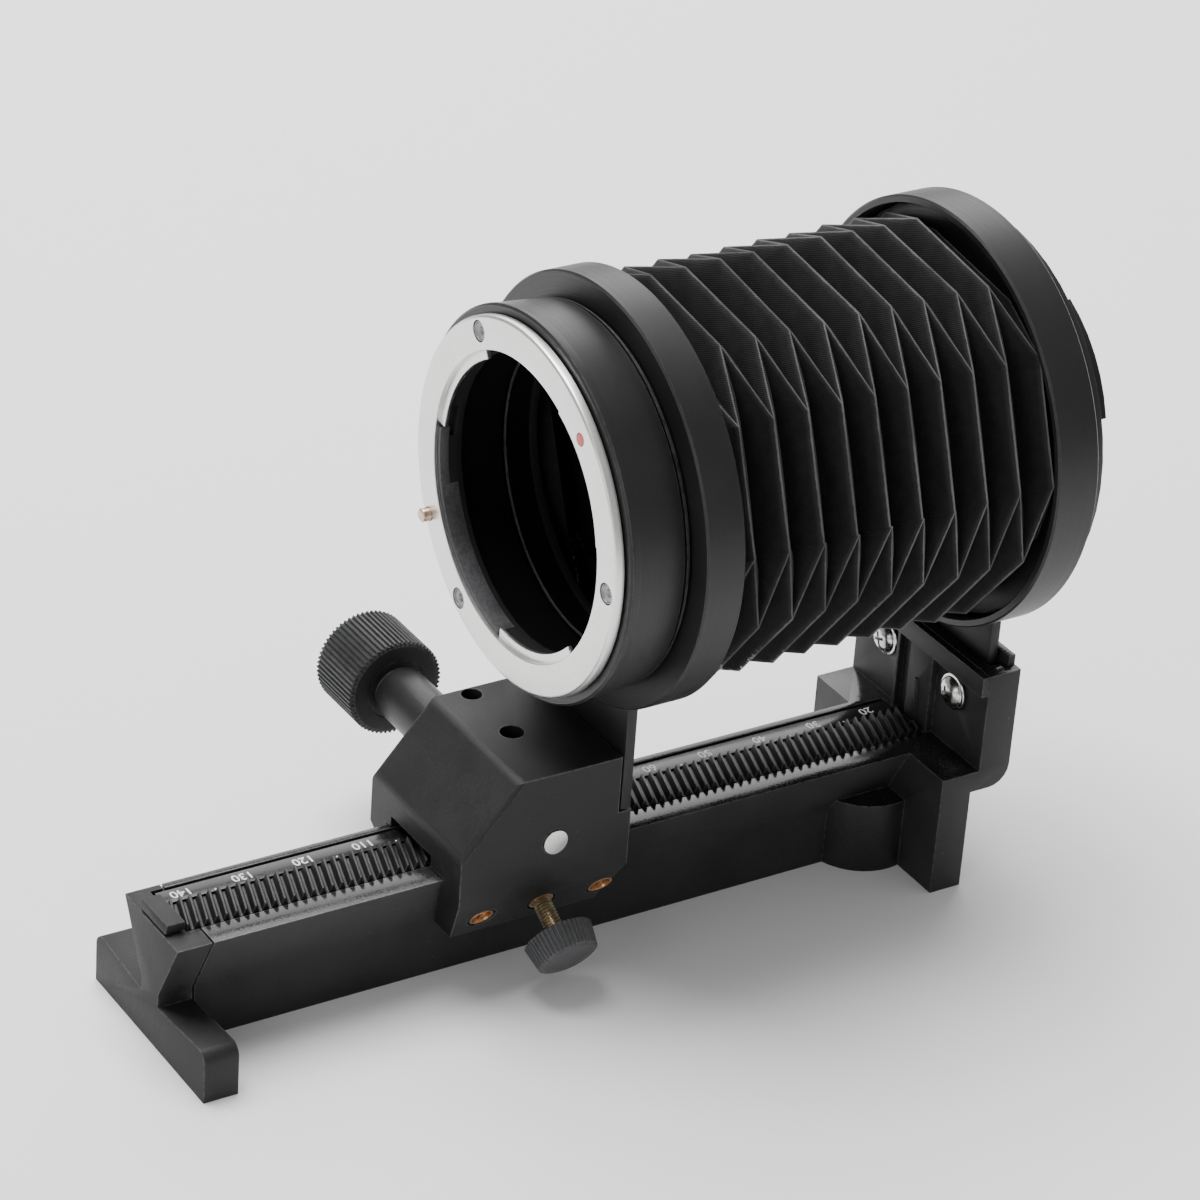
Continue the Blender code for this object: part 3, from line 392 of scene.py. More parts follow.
def mouldedBlack(name, roughness, wear, grainScale, grainBump, glossyTop=False, shade=1.0):
    # glass-filled black moulding: faint blotches, rubbed corners, a little dust
    material, tree, shader = startMaterial(name, roughness, Specular_IOR_Level=0.34)
    grain = useGroup(tree, "mouldedGrain", Scale=grainScale)
    worn = useGroup(tree, "edgeWear", Width=0.00045, Amount=wear, Break_up=1100.0)
    dust = useGroup(tree, "dustSpecks", Scale=480.0, Amount=0.35)
    base = mixColour(tree, ramp(tree, grain.outputs["Shade"], 0.35, 0.65),
                     grey(mouldedValues["dark"] * shade), grey(mouldedValues["light"] * shade))
    rubbed = mixColour(tree, worn.outputs["Mask"], base, mouldedValues["worn"])
    dusty = mixColour(tree, dust.outputs["Mask"], rubbed, mouldedValues["dust"])
    link(tree, dusty, shader.inputs["Base Color"])
    rough = ramp(tree, grain.outputs["Shade"], 0.3, 0.7, roughness - 0.07, roughness + 0.08)
    if glossyTop:
        surface = tree.nodes.new("ShaderNodeNewGeometry")
        apart = tree.nodes.new("ShaderNodeSeparateXYZ")
        link(tree, surface.outputs["Normal"], apart.inputs[0])
        up = ramp(tree, apart.outputs["Z"], 0.93, 0.99)
        smooth = calc(tree, "MULTIPLY", up, 0.36)
        rough = calc(tree, "SUBTRACT", rough, smooth)
    link(tree, rough, shader.inputs["Roughness"])
    link(tree, bumpFrom(tree, grain.outputs["Height"], grainBump, 0.00006), shader.inputs["Normal"])
    return material


def anodisedBlack(name, roughness, wear):
    # turned and dyed aluminium: faint lathe lines, bright rubbed rims, and painted shade darkening the bore
    material, tree, shader = startMaterial(name, roughness, 0.0, Specular_IOR_Level=0.37)
    lines = useGroup(tree, "turnedLines", Density=4200.0)
    grain = useGroup(tree, "mouldedGrain", Scale=3800.0)
    worn = useGroup(tree, "edgeWear", Width=0.00022, Amount=wear, Break_up=700.0)
    base = mixColour(tree, ramp(tree, grain.outputs["Shade"], 0.3, 0.7), (0.0070, 0.0070, 0.0074, 1),
                     (0.0130, 0.0130, 0.0136, 1))
    rubbed = mixColour(tree, worn.outputs["Mask"], base, (0.10, 0.10, 0.10, 1))
    # inside the bore the base colour is mixed darker, painted shade in the tube; the roughness added there is
    # a real matt finish
    link(tree, mixColour(tree, lines.outputs["Bore"], rubbed, (0.0045, 0.0045, 0.0048, 1)),
         shader.inputs["Base Color"])
    rough = ramp(tree, lines.outputs["Line"], 0.3, 0.7, roughness - 0.05, roughness + 0.06)
    link(tree, calc(tree, "ADD", rough, calc(tree, "MULTIPLY", lines.outputs["Bore"], 0.42)),
         shader.inputs["Roughness"])
    height = calc(tree, "ADD", lines.outputs["Line"], calc(tree, "MULTIPLY", grain.outputs["Height"], 0.5))
    link(tree, bumpFrom(tree, height, 0.16, 0.00003), shader.inputs["Normal"])
    return material


def brightMetal(name, colour, roughness, wearColour, density=5200.0):
    # bright turned metal with fine lines and dull blotches
    material, tree, shader = startMaterial(name, roughness, 1.0)
    lines = useGroup(tree, "turnedLines", Density=density)
    grain = useGroup(tree, "mouldedGrain", Scale=1500.0)
    base = mixColour(tree, ramp(tree, grain.outputs["Shade"], 0.35, 0.7), colour, wearColour)
    link(tree, base, shader.inputs["Base Color"])
    link(tree, ramp(tree, lines.outputs["Line"], 0.25, 0.75, roughness - 0.06, roughness + 0.08),
         shader.inputs["Roughness"])
    link(tree, bumpFrom(tree, lines.outputs["Line"], 0.22, 0.00002), shader.inputs["Normal"])
    return material


def pleatedCloth():
    # rubberised twill, rubbed pale along every outer fold
    material, tree, shader = startMaterial("pleatedCloth", 0.72, Specular_IOR_Level=0.2,
                                           Sheen_Weight=0.04, Sheen_Roughness=0.4)
    twill = useGroup(tree, "twillWeave", Threads=2900.0, Slant=0.62)
    fold = tree.nodes.new("ShaderNodeAttribute")
    fold.attribute_name = "foldDistance"
    coords = tree.nodes.new("ShaderNodeTexCoord")
    breakUp = noise(tree, coords.outputs["Object"], 900.0, 4.0)
    spread = calc(tree, "SUBTRACT", fold.outputs["Fac"],
                  calc(tree, "MULTIPLY", calc(tree, "SUBTRACT", breakUp, 0.5), 0.35))
    crease = ramp(tree, spread, 0.16, 0.40, 1.0, 0.0)
    halo = ramp(tree, spread, 0.2, 1.3, 0.12, 0.0)
    patchy = ramp(tree, noise(tree, coords.outputs["Object"], 60.0, 3.0), 0.35, 0.6, 0.6, 1.0)
    worn = calc(tree, "MAXIMUM", calc(tree, "MULTIPLY", crease, patchy), halo)
    base = mixColour(tree, ramp(tree, twill.outputs["Shade"], 0.3, 0.8), (0.0013, 0.0013, 0.0016, 1),
                     (0.0058, 0.0058, 0.0065, 1))
    rubbed = mixColour(tree, worn, base, (0.12, 0.12, 0.12, 1))
    apart = tree.nodes.new("ShaderNodeSeparateXYZ")
    link(tree, coords.outputs["Object"], apart.inputs[0])
    lowFront = calc(tree, "MULTIPLY", ramp(tree, apart.outputs["Y"], 0.013, 0.026, 1.0, 0.0),
                    ramp(tree, apart.outputs["Z"], 0.050, 0.058, 1.0, 0.0))
    threads = ramp(tree, noise(tree, coords.outputs["Object"], 1300.0, 5.0, 0.7), 0.52, 0.60)
    torn = calc(tree, "MULTIPLY", ramp(tree, fold.outputs["Fac"], 0.3, 0.8, 1.0, 0.0), threads)
    link(tree, mixColour(tree, calc(tree, "MULTIPLY", torn, lowFront), rubbed, (0.62, 0.61, 0.58, 1)),
         shader.inputs["Base Color"])
    link(tree, bumpFrom(tree, twill.outputs["Height"], 0.4, 0.00006), shader.inputs["Normal"])
    return material


def plainPaint(name, low, high, roughness, gloss=0.5):
    material, tree, shader = startMaterial(name, roughness, Specular_IOR_Level=gloss)
    grain = useGroup(tree, "mouldedGrain", Scale=3000.0)
    link(tree, mixColour(tree, ramp(tree, grain.outputs["Shade"], 0.35, 0.65), low, high),
         shader.inputs["Base Color"])
    link(tree, bumpFrom(tree, grain.outputs["Height"], 0.2, 0.00004), shader.inputs["Normal"])
    return material


materials = {
    "rail": mouldedBlack("railMoulding", 0.52, 0.8, 2400.0, 0.35, glossyTop=True, shade=1.35),
    "housing": mouldedBlack("housingMoulding", 0.55, 1.0, 2100.0, 0.4),
    "foot": mouldedBlack("footMoulding", 0.6, 0.9, 1900.0, 0.6),
    "liner": mouldedBlack("linerMoulding", 0.6, 0.3, 1900.0, 0.6, shade=5.5),
    # near-black, matt paint for the bore: the matt finish is real, the extra darkness is painted shade inside
    # the tube
    "bore": plainPaint("boreMattBlackPaintedShade", (0.0015, 0.0015, 0.0016, 1), (0.0030, 0.0030, 0.0032, 1), 0.85, 0.08),
    "knob": mouldedBlack("knobMoulding", 0.46, 0.5, 2600.0, 0.25, shade=2.0),
    # lighter copy of the knob moulding: its extra lightness is painted light on the clamp knob's lit face
    "clampKnob": mouldedBlack("clampKnobPaintedLightMoulding", 0.5, 0.5, 2600.0, 0.25, shade=4.6),
    "rack": mouldedBlack("rackMoulding", 0.42, 0.45, 2600.0, 0.15, shade=0.6),
    "scale": mouldedBlack("scaleStripGloss", 0.22, 0.2, 2600.0, 0.06, shade=0.8),
    "anodised": anodisedBlack("anodisedAluminium", 0.39, 0.85),
    "standard": anodisedBlack("standardAluminium", 0.41, 0.45),
    "silver": brightMetal("lappedSilver", (0.80, 0.785, 0.77, 1), 0.33, (0.70, 0.69, 0.68, 1)),
    "steel": brightMetal("platedSteel", (0.66, 0.65, 0.64, 1), 0.2, (0.52, 0.51, 0.50, 1), 9000.0),
    "dull": brightMetal("dulledSteel", (0.30, 0.30, 0.30, 1), 0.42, (0.16, 0.16, 0.16, 1), 9000.0),
    "brass": brightMetal("turnedBrass", (0.56, 0.48, 0.33, 1), 0.3, (0.33, 0.28, 0.18, 1), 9000.0),
    "bush": brightMetal("bushBrass", (0.74, 0.45, 0.24, 1), 0.26, (0.40, 0.22, 0.11, 1), 9000.0),
    "copper": brightMetal("copperPin", (0.68, 0.50, 0.40, 1), 0.34, (0.50, 0.35, 0.27, 1), 9000.0),
    "red": plainPaint("redEnamel", (0.40, 0.035, 0.035, 1), (0.60, 0.10, 0.09, 1), 0.4),
    "nylon": plainPaint("naturalNylon", (0.55, 0.55, 0.50, 1), (0.70, 0.70, 0.66, 1), 0.5),
    "white": plainPaint("scaleWhite", (0.62, 0.62, 0.62, 1), (0.85, 0.85, 0.85, 1), 0.55),
    "cloth": pleatedCloth(),
}
print("materials ready,", len(materials))


# ---- solids that keep their CAD shape, with their edges broken

softEdges = {
    "rail": ("railBody", 0.28, "rail", "black_polymer"),
    "front_foot": ("frontFootWings", 0.35, "foot", "black_polymer"),
    "rack_stop": ("rackStopBlock", 0.25, "foot", "black_polymer"),
    "rack": ("toothedRack", 0.06, "rack", "gloss_rack"),
    "scale_strip": ("scaleStripBar", 0.08, "scale", "gloss_rack"),
    "tripod_bush": ("tripodBush", 0.15, "steel", "steel"),
    "rear_mount": ("cameraBayonet", 0.18, "anodised", "black_anodised"),
    "bearing_sleeve": ("shaftSleeve", 0.15, "standard", "black_anodised"),
    "sleeve_set_screw": ("sleeveGrubScrew", 0.1, "steel", "steel"),
    "mount_backing_ring": ("lugBackingRing", 0.12, "anodised", "black_anodised"),
    "lens_lock_pin": ("lensLockPin", 0.1, "copper", "brass"),
    "index_dot": ("mountIndexDot", 0.08, "red", "red_paint"),
    "pinion_shaft": ("pinionAndShaft", 0.1, "steel", "steel"),
}
for number, letter in enumerate("ABC", start=1):
    softEdges["rear_mount_screw_%d" % number] = ("rearMountScrew" + letter, 0.12, "steel", "steel")
for side in ("left", "right"):
    softEdges["bracket_nut_" + side] = ("bracketNut" + side.title(), 0.2, "steel", "steel")
    softEdges["plate_screw_" + side] = ("plateScrew" + side.title(), 0.2, "steel", "steel")
for end in ("front", "middle", "rear"):
    softEdges["insert_" + end] = ("brassBush" + end.title(), 0.12, "bush", "brass")
for end in ("front", "rear"):
    softEdges["gib_screw_" + end] = ("slottedScrew" + end.title(), 0.08, "bush", "brass")
    softEdges["bellows_%s_frame" % end] = (end + "ClothFrame", 0.2, "standard", "black_anodised")
for node, (name, width, finish, slotName) in softEdges.items():
    piece = softenedCopy(node, width)
    finishPiece(piece, name, materials[finish], nodeBody[node], [node])
print("edges broken on", len(softEdges), "solids")

for node, finish in (("friction_washer", "foot"), ("clamp_pad", "nylon")):
    nodes[node].data.materials.clear()
    nodes[node].data.materials.append(materials[finish])


def buildSpring():
    # a softened copy of the lock pin's coil spring, with a mesh of its own
    piece = softenedCopy("lock_pin_spring", 0)
    finishPiece(piece, "lockPinCoilSpring", materials["steel"], "carriage_unit", ["lock_pin_spring"])
    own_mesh(piece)


buildSpring()


# ---- lens adapter barrel

adapter = {"front": -11.0, "rear": -0.6, "lip": 29.5, "barrel": 29.3, "tail": 28.7, "seat": 24.9,
           "bore": 23.6, "steps": 144}


def mattBore(piece, radius):
    # the faces of the light path take the matt black second finish; its near-black colour is painted shade
    # inside the tube
    piece.data.materials.append(materials["bore"])
    for face in piece.data.polygons:
        if math.hypot(face.center.x, face.center.z - axisHeight * mm) < radius * mm:
            face.material_index = 1
    return piece


def buildAdapter():
    a = adapter
    profile = [(a["lip"] - 0.35, -a["front"]), (a["lip"], -a["front"] - 0.35),
               (a["lip"], -a["front"] - 0.9), (a["barrel"] + 0.04, -a["front"] - 1.5),
               (a["barrel"], -a["front"] - 2.05),
               (a["tail"] + 0.05, 1.75), (a["tail"] - 0.25, 1.55), (a["tail"] - 0.7, 1.55),
               (a["tail"] - 0.7, 1.28), (a["tail"] - 0.1, 1.28), (a["tail"] - 0.1, 1.02),
               (a["tail"] - 0.5, 0.95), (a["tail"] - 0.5, -a["rear"]), (a["bore"] + 0.35, -a["rear"]),
               (a["bore"], -a["rear"] + 0.35), (a["bore"], -a["front"] - 3.4),
               (a["seat"] - 0.3, -a["front"] - 3.0), (a["seat"], -a["front"] - 2.7),
               (a["seat"], -a["front"])]
    piece = spun(profile, (0, 0, axisHeight), (0, -1, 0), a["steps"])
    smoothBy(piece, 25)
    finishPiece(piece, "lensAdapterBarrel", materials["anodised"], "carriage_unit", ["lens_adapter"])
    return mattBore(piece, a["seat"] + 0.05)


buildAdapter()


# ---- rings of the two standards, spun fine, with the plate or tongue that holds each

frontRing = {"outer": 32.5, "inner": 31.2, "bore": 24.4, "front": -0.3, "web": 4.2, "rear": 6.1,
             "edge": 0.3, "plate": ((-13.4, 0.95, 28.2), (13.4, 2.7, 49.7))}
rearRing = {"outer": 33.2, "inner": 32.0, "bore": 25.0, "front": 59.7, "web": 64.8, "rear": 67.0,
            "edge": 0.3, "tongue": ((-13.8, 66.1, 24.8), (13.8, 67.8, 44.4)),
            "root": ((-13.8, 66.1, 44.0), (13.8, 66.95, 49.2))}


def block(low, high, edge=0.2):
    deselectAll()
    bpy.ops.mesh.primitive_cube_add(size=1, location=(0, 0, 0))
    piece = bpy.context.object
    low, high = Vector(low) * mm, Vector(high) * mm
    edit(piece)
    bpy.ops.mesh.select_all(action="SELECT")
    bpy.ops.transform.resize(value=high - low)
    bpy.ops.transform.translate(value=(low + high) / 2)
    leaveEdit()
    applyModifier(piece, "BEVEL", width=edge * mm, segments=2)
    return piece


def joinPieces(first, others):
    deselectAll()
    for piece in [first] + others:
        piece.select_set(True)
    bpy.context.view_layer.objects.active = first
    bpy.ops.object.join()
    return first


def buildFrontRing():
    r = frontRing
    e = r["edge"]
    profile = [(r["outer"] - e, -r["front"]), (r["outer"], -r["front"] - e), (r["outer"], -r["rear"] + e),
               (r["outer"] - e, -r["rear"]), (r["inner"] + 0.1, -r["rear"]), (r["inner"], -r["rear"] + 0.1),
               (r["inner"], -r["web"]), (r["bore"], -r["web"]), (r["bore"], -r["front"])]
    ring = spun(profile, (0, 0, axisHeight), (0, -1, 0), 144)
    joinPieces(ring, [block(*r["plate"])])
    smoothBy(ring, 25)
    finishPiece(ring, "frontStandardRing", materials["standard"], "carriage_unit", ["front_standard"])
    return mattBore(ring, r["bore"] + 0.05)


def buildRearRing():
    r = rearRing
    e = r["edge"]
    profile = [(r["outer"] - e, -r["front"]), (r["outer"], -r["front"] - e), (r["outer"], -r["rear"] + e),
               (r["outer"] - e, -r["rear"]), (r["bore"], -r["rear"]), (r["bore"], -r["web"]),
               (r["inner"], -r["web"]), (r["inner"], -r["front"] - 0.1), (r["inner"] + 0.1, -r["front"])]
    ring = spun(profile, (0, 0, axisHeight), (0, -1, 0), 144)
    joinPieces(ring, [block(*r["tongue"]), block(*r["root"])])
    smoothBy(ring, 25)
    return finishPiece(ring, "rearStandardRing", materials["standard"], "rail_unit",
                       ["rear_standard"])


buildFrontRing()
buildRearRing()
print("standards ready")


# ---- bright bayonet ring with its lugs and dished screws, and the dark liner in its throat

mountScrew = {"circle": 25.8, "angles": (118.3, -121.7, -1.7), "radius": 1.5, "face": -12.62}
brightRing = {"outer": 28.1, "inner": 23.0, "front": -12.7, "rear": -11.3, "round": 0.55, "lugInner": 21.6,
              "lugFront": -12.0, "lugs": (146.0, 38.0, -70.0), "lugSpan": 54.0, "screwHole": 1.65,
              "screwDepth": -11.6, "dot": (25.1, 49.3, 1.02, -12.3), "pin": (26.6, -151.6, 1.13, -10.0)}
liner = {"outer": 22.95, "inner": 22.25, "front": -12.1, "shallow": -10.6, "deep": -9.2, "from": 174.5,
         "step": 198.0, "to": 262.5}
boreEdgeRing = {"inner": 23.34, "outer": 23.62, "front": 0.42, "rear": 0.16}


def onAxis(radius, angle, y):
    turn = math.radians(angle)
    return (radius * math.cos(turn), y, axisHeight + radius * math.sin(turn))


def sectorBlock(inner, outer, low, high, front, rear, edge=0.1, steps=16):
    # a rectangle on the section, spun part of a turn about the optical axis
    deselectAll()
    bpy.ops.mesh.primitive_plane_add(size=1, location=(0, 0, 0))
    piece = bpy.context.object
    edit(piece)
    bpy.ops.mesh.select_all(action="SELECT")
    bpy.ops.transform.resize(value=((outer - inner) * mm, (rear - front) * mm, 1))
    bpy.ops.transform.translate(value=((outer + inner) / 2 * mm, (front + rear) / 2 * mm, 0))
    bpy.ops.mesh.spin(steps=steps, angle=math.radians(high - low), center=(0, 0, 0), axis=(0, 1, 0))
    bpy.ops.mesh.select_all(action="SELECT")
    bpy.ops.mesh.remove_doubles(threshold=0.000002)
    bpy.ops.mesh.fill_holes(sides=0)
    bpy.ops.mesh.select_all(action="SELECT")
    bpy.ops.mesh.normals_make_consistent(inside=False)
    leaveEdit()
    piece.data.transform(Matrix.Rotation(-math.radians(low), 4, "Y"))
    piece.data.transform(Matrix.Translation((0, 0, axisHeight * mm)))
    applyModifier(piece, "BEVEL", width=edge * mm, segments=2, limit_method="ANGLE",
                  angle_limit=math.radians(40))
    return piece


def drill(piece, spot, radius, depth, steps=40):
    # a hole along the optical axis, from in front of the spot to its depth
    deselectAll()
    bpy.ops.mesh.primitive_cylinder_add(vertices=steps, radius=radius * mm, depth=6 * mm,
                                        location=(0, 0, 0))
    cutter = bpy.context.object
    place(cutter, (spot[0], depth - 3, spot[2]), (0, -1, 0))
    applyModifier(piece, "BOOLEAN", operation="DIFFERENCE", solver="EXACT", object=cutter)
    bpy.data.objects.remove(cutter)


def buildBrightRing():
    r = brightRing
    e = r["round"]
    front, rear = -r["front"], -r["rear"]
    rounded = [(r["outer"] - e + e * math.sin(t), front - e + e * math.cos(t))
               for t in (0.0, 0.4, 0.8, 1.2, math.pi / 2)]
    profile = rounded + [(r["outer"], rear), (r["inner"], rear), (r["inner"], front - 0.1),
                         (r["inner"] + 0.1, front)]
    ring = spun(profile, (0, 0, axisHeight), (0, -1, 0), 144)
    for angle in mountScrew["angles"]:
        drill(ring, onAxis(mountScrew["circle"], angle, 0), r["screwHole"], r["screwDepth"])
    for circle, angle, radius, depth in (r["dot"], r["pin"]):
        drill(ring, onAxis(circle, angle, 0), radius, depth)
    lugs = [sectorBlock(r["lugInner"], r["inner"] + 0.3, centre - r["lugSpan"] / 2,
                        centre + r["lugSpan"] / 2, r["lugFront"], r["rear"]) for centre in r["lugs"]]
    joinPieces(ring, lugs)
    smoothBy(ring, 28)
    finishPiece(ring, "brightBayonetRing", materials["silver"], "carriage_unit",
                ["lens_mount_ring"])
    shade = sectorBlock(liner["inner"], liner["outer"], liner["step"], liner["to"], liner["front"],
                        liner["deep"], 0.08, 24)
    joinPieces(shade, [sectorBlock(liner["inner"], liner["outer"], liner["from"], liner["step"] + 0.5,
                                   liner["front"], liner["shallow"], 0.08, 12)])
    smoothBy(shade, 28)
    finishPiece(shade, "throatLiner", materials["liner"], "carriage_unit", ())
    # a thin bright silver ring along the bore's rear edge
    worn = boreEdgeRing
    edge = spun([(worn["inner"], worn["front"]), (worn["outer"], worn["front"]),
                 (worn["outer"], worn["rear"]), (worn["inner"], worn["rear"])],
                (0, 0, axisHeight), (0, -1, 0), 144)
    smoothBy(edge, 28)
    finishPiece(edge, "brightBoreEdgeRing", materials["silver"], "carriage_unit", ())


def buildMountScrews():
    s = mountScrew
    for number, angle in enumerate(s["angles"], start=1):
        spot = (s["circle"] * math.cos(math.radians(angle)), s["face"],
                axisHeight + s["circle"] * math.sin(math.radians(angle)))
        profile = [(0.0, -0.62), (0.38, -0.62), (0.62, -0.36), (1.22, -0.22), (1.34, -0.06),
                   (s["radius"] - 0.04, -0.04), (s["radius"], -0.14), (s["radius"], -0.9), (0.7, -0.9),
                   (0.7, -14.0), (0.0, -14.0)]
        piece = spun(profile, spot, (0, -1, 0), 32, closed=False)
        smoothBy(piece, 28)
        finishPiece(piece, "ringScrew%d" % number, materials["dull"], "carriage_unit",
                    ["mount_screw_%d" % number])


buildMountScrews()
buildBrightRing()
print("lens side ready")


# ---- carriage housing, worn along its slope

housing = {"half": 13.4, "topZ": 37.5, "topY": -16.7, "lowZ": 26.7, "lowY": -26.0, "round": 0.9,
           "edge": 0.32}


def buildHousing():
    # the slope's two side edges are worn round; then every other edge is broken
    piece = softenedCopy("carriage", 0)
    h = housing
    edit(piece)
    across = (h["topZ"] - h["lowZ"]) * mm, (h["topY"] - h["lowY"]) * mm
    def onSlope(v):
        lift = (v.co.z - h["lowZ"] * mm) * across[1] - (v.co.y - h["lowY"] * mm) * across[0]
        return abs(lift) < 2e-9 and abs(abs(v.co.x) - h["half"] * mm) < 0.00002
    selectBy(piece, "verts", onSlope)
    bpy.context.tool_settings.mesh_select_mode = (False, True, False)
    bpy.ops.mesh.bevel(offset=h["round"] * mm, segments=4, affect="EDGES", clamp_overlap=True)
    leaveEdit()
    applyModifier(piece, "BEVEL", width=h["edge"] * mm, segments=2, limit_method="ANGLE",
                  angle_limit=math.radians(32), use_clamp_overlap=True, miter_outer="MITER_ARC")
    smoothBy(piece, 32)
    return finishPiece(piece, "carriageHousing", materials["housing"], "carriage_unit", ["carriage"])


buildHousing()
print("housing ready")


# ---- cross-head screws of the rear bracket

crossScrew = {"flange": 3.0, "head": 2.45, "height": 1.75, "x": 9.2, "z": 30.5, "face": 63.85,
              "arm": 1.7, "armWidth": 0.6, "depth": 1.2}


def buildCrossScrew(side, node, name):
    s = crossScrew
    profile = [(0.0, s["height"]), (0.9, s["height"] - 0.05), (1.6, s["height"] - 0.25),
               (2.15, s["height"] - 0.6), (s["head"], s["height"] - 1.0), (s["head"] + 0.02, 0.62),
               (s["head"] + 0.1, 0.5), (s["flange"] - 0.12, 0.44), (s["flange"], 0.32),
               (s["flange"], 0.1), (s["flange"] - 0.1, 0.0), (1.5, 0.0), (1.5, -6.8), (0.0, -6.8)]
    piece = spun(profile, (0, 0, 0), (0, 0, 1), 64, closed=False)
    for turn in (0, 90):
        deselectAll()
        bpy.ops.mesh.primitive_cube_add(size=2 * mm, location=(0, 0, 0))
        cutter = bpy.context.object
        edit(cutter)
        bpy.ops.mesh.select_all(action="SELECT")
        bpy.ops.transform.resize(value=(s["arm"], s["armWidth"] / 2, s["depth"]))
        selectBy(cutter, "verts", lambda v: v.co.z < 0)
        bpy.ops.transform.resize(value=(0.42, 0.7, 1.0))
        leaveEdit()
        cutter.data.transform(Matrix.Rotation(math.radians(turn + 20), 4, "Z"))
        cutter.data.transform(Matrix.Translation((0, 0, s["height"] * mm)))
        applyModifier(piece, "BOOLEAN", operation="DIFFERENCE", solver="EXACT", object=cutter)
        bpy.data.objects.remove(cutter)
    place(piece, (side * s["x"], s["face"], s["z"]), (0, -1, 0))
    smoothBy(piece, 28)
    return finishPiece(piece, name, materials["steel"], "rail_unit", [node])


buildCrossScrew(-1, "bracket_screw_left", "crossHeadScrewLeft")
buildCrossScrew(1, "bracket_screw_right", "crossHeadScrewRight")


# ---- knobs

focusKnob = {"ridges": 62, "radius": 8.0, "groove": 0.36, "length": 11.4, "from": -34.6,
             "y": -10.1, "z": 25.75}
clampKnob = {"ridges": 44, "radius": 5.4, "tip": 4.8, "groove": 0.34, "length": 4.4, "out": 9.4}


def ridgedShell(radius, tipRadius, length, ridges, groove, chamfer, inset):
    # a cylinder whose every second pair of corners is drawn in to make straight ridges;
    # it stops short of both ends of the knob, where the turned core shows
    deselectAll()
    depth = length - 2 * inset - 2 * chamfer
    bpy.ops.mesh.primitive_cylinder_add(vertices=ridges * 4, radius=radius * mm, depth=depth * mm,
                                        location=(0, 0, length / 2 * mm))
    piece = bpy.context.object
    piece.data.transform(piece.matrix_world)
    piece.matrix_world = Matrix.Identity(4)
    edit(piece)
    step = 2 * math.pi / (ridges * 4)
    selectBy(piece, "verts", lambda v: round(math.atan2(v.co.y, v.co.x) / step) % 4 in (2, 3))
    bpy.ops.transform.resize(value=(1 - groove / radius, 1 - groove / radius, 1),
                             center_override=(0, 0, 0))
    selectBy(piece, "verts", lambda v: v.co.z > length / 2 * mm)
    bpy.ops.transform.resize(value=(tipRadius / radius, tipRadius / radius, 1),
                             center_override=(0, 0, 0))
    for sign in (1, -1):
        selectBy(piece, "faces", lambda f: len(f.verts) > 8 and f.normal.z * sign > 0.5)
        bpy.ops.mesh.extrude_region_move(TRANSFORM_OT_translate={"value": (0, 0, sign * chamfer * mm)})
        shrink = 1 - (chamfer + groove) / radius
        bpy.ops.transform.resize(value=(shrink, shrink, 1), center_override=(0, 0, 0))
    leaveEdit()
    return piece


def buildFocusKnob():
    k = focusKnob
    top = k["length"]
    core = spun([(0.0, 2.2), (2.3, 2.2), (2.3, 0.5), (4.6, 0.5), (4.9, 0.12), (5.1, 0.0), (6.9, 0.0),
                 (7.25, 0.1), (7.5, 0.4), (7.5, top - 0.4), (7.25, top - 0.1), (6.9, top), (6.2, top),
                 (6.0, top - 0.25), (5.0, top - 0.3), (4.8, top - 0.12), (0.0, top - 0.1)],
                (0, 0, 0), (0, 0, 1), 96, closed=False)
    shell = ridgedShell(k["radius"], k["radius"], top, k["ridges"], k["groove"], 0.25, 0.12)
    joinPieces(core, [shell])
    place(core, (k["from"], k["y"], k["z"]), (-1, 0, 0))
    smoothBy(core, 24)
    return finishPiece(core, "focusKnobRidged", materials["knob"], "focus_drive", ["focus_knob"])


def slopeAxis():
    # foot of the clamping screw and its outward direction, from the pad's and the knob's boxes
    low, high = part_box("clamp_pad")
    foot = (Vector(low) + Vector(high)) / 2
    low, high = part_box("clamp_knob")
    end = (Vector(low) + Vector(high)) / 2
    return foot / mm, (end - foot).normalized()


def buildClamp():
    c = clampKnob
    pad, out = slopeAxis()
    base = pad + out * c["out"]
    top = c["length"]
    core = spun([(0.0, 0.9), (1.8, 0.9), (1.8, 0.1), (4.5, 0.0), (4.85, 0.3), (4.4, top - 0.4),
                 (4.28, top - 0.14), (4.0, top), (2.9, top), (2.7, top - 0.1), (0.0, top - 0.12)],
                (0, 0, 0), (0, 0, 1), 72, closed=False)
    shell = ridgedShell(c["radius"], c["tip"], top, c["ridges"], c["groove"], 0.25, 0.1)
    joinPieces(core, [shell])
    place(core, base, out)
    smoothBy(core, 24)
    # the clamp knob takes the lighter copy of the knob moulding, whose extra lightness is painted light
    finishPiece(core, "clampKnobFluted", materials["clampKnob"], "clamp_screw", ["clamp_knob"])


threadValues = {"pitch": 0.5, "crest": 1.45, "root": 1.16, "turns": 24, "steps": 24, "from": 0.5}


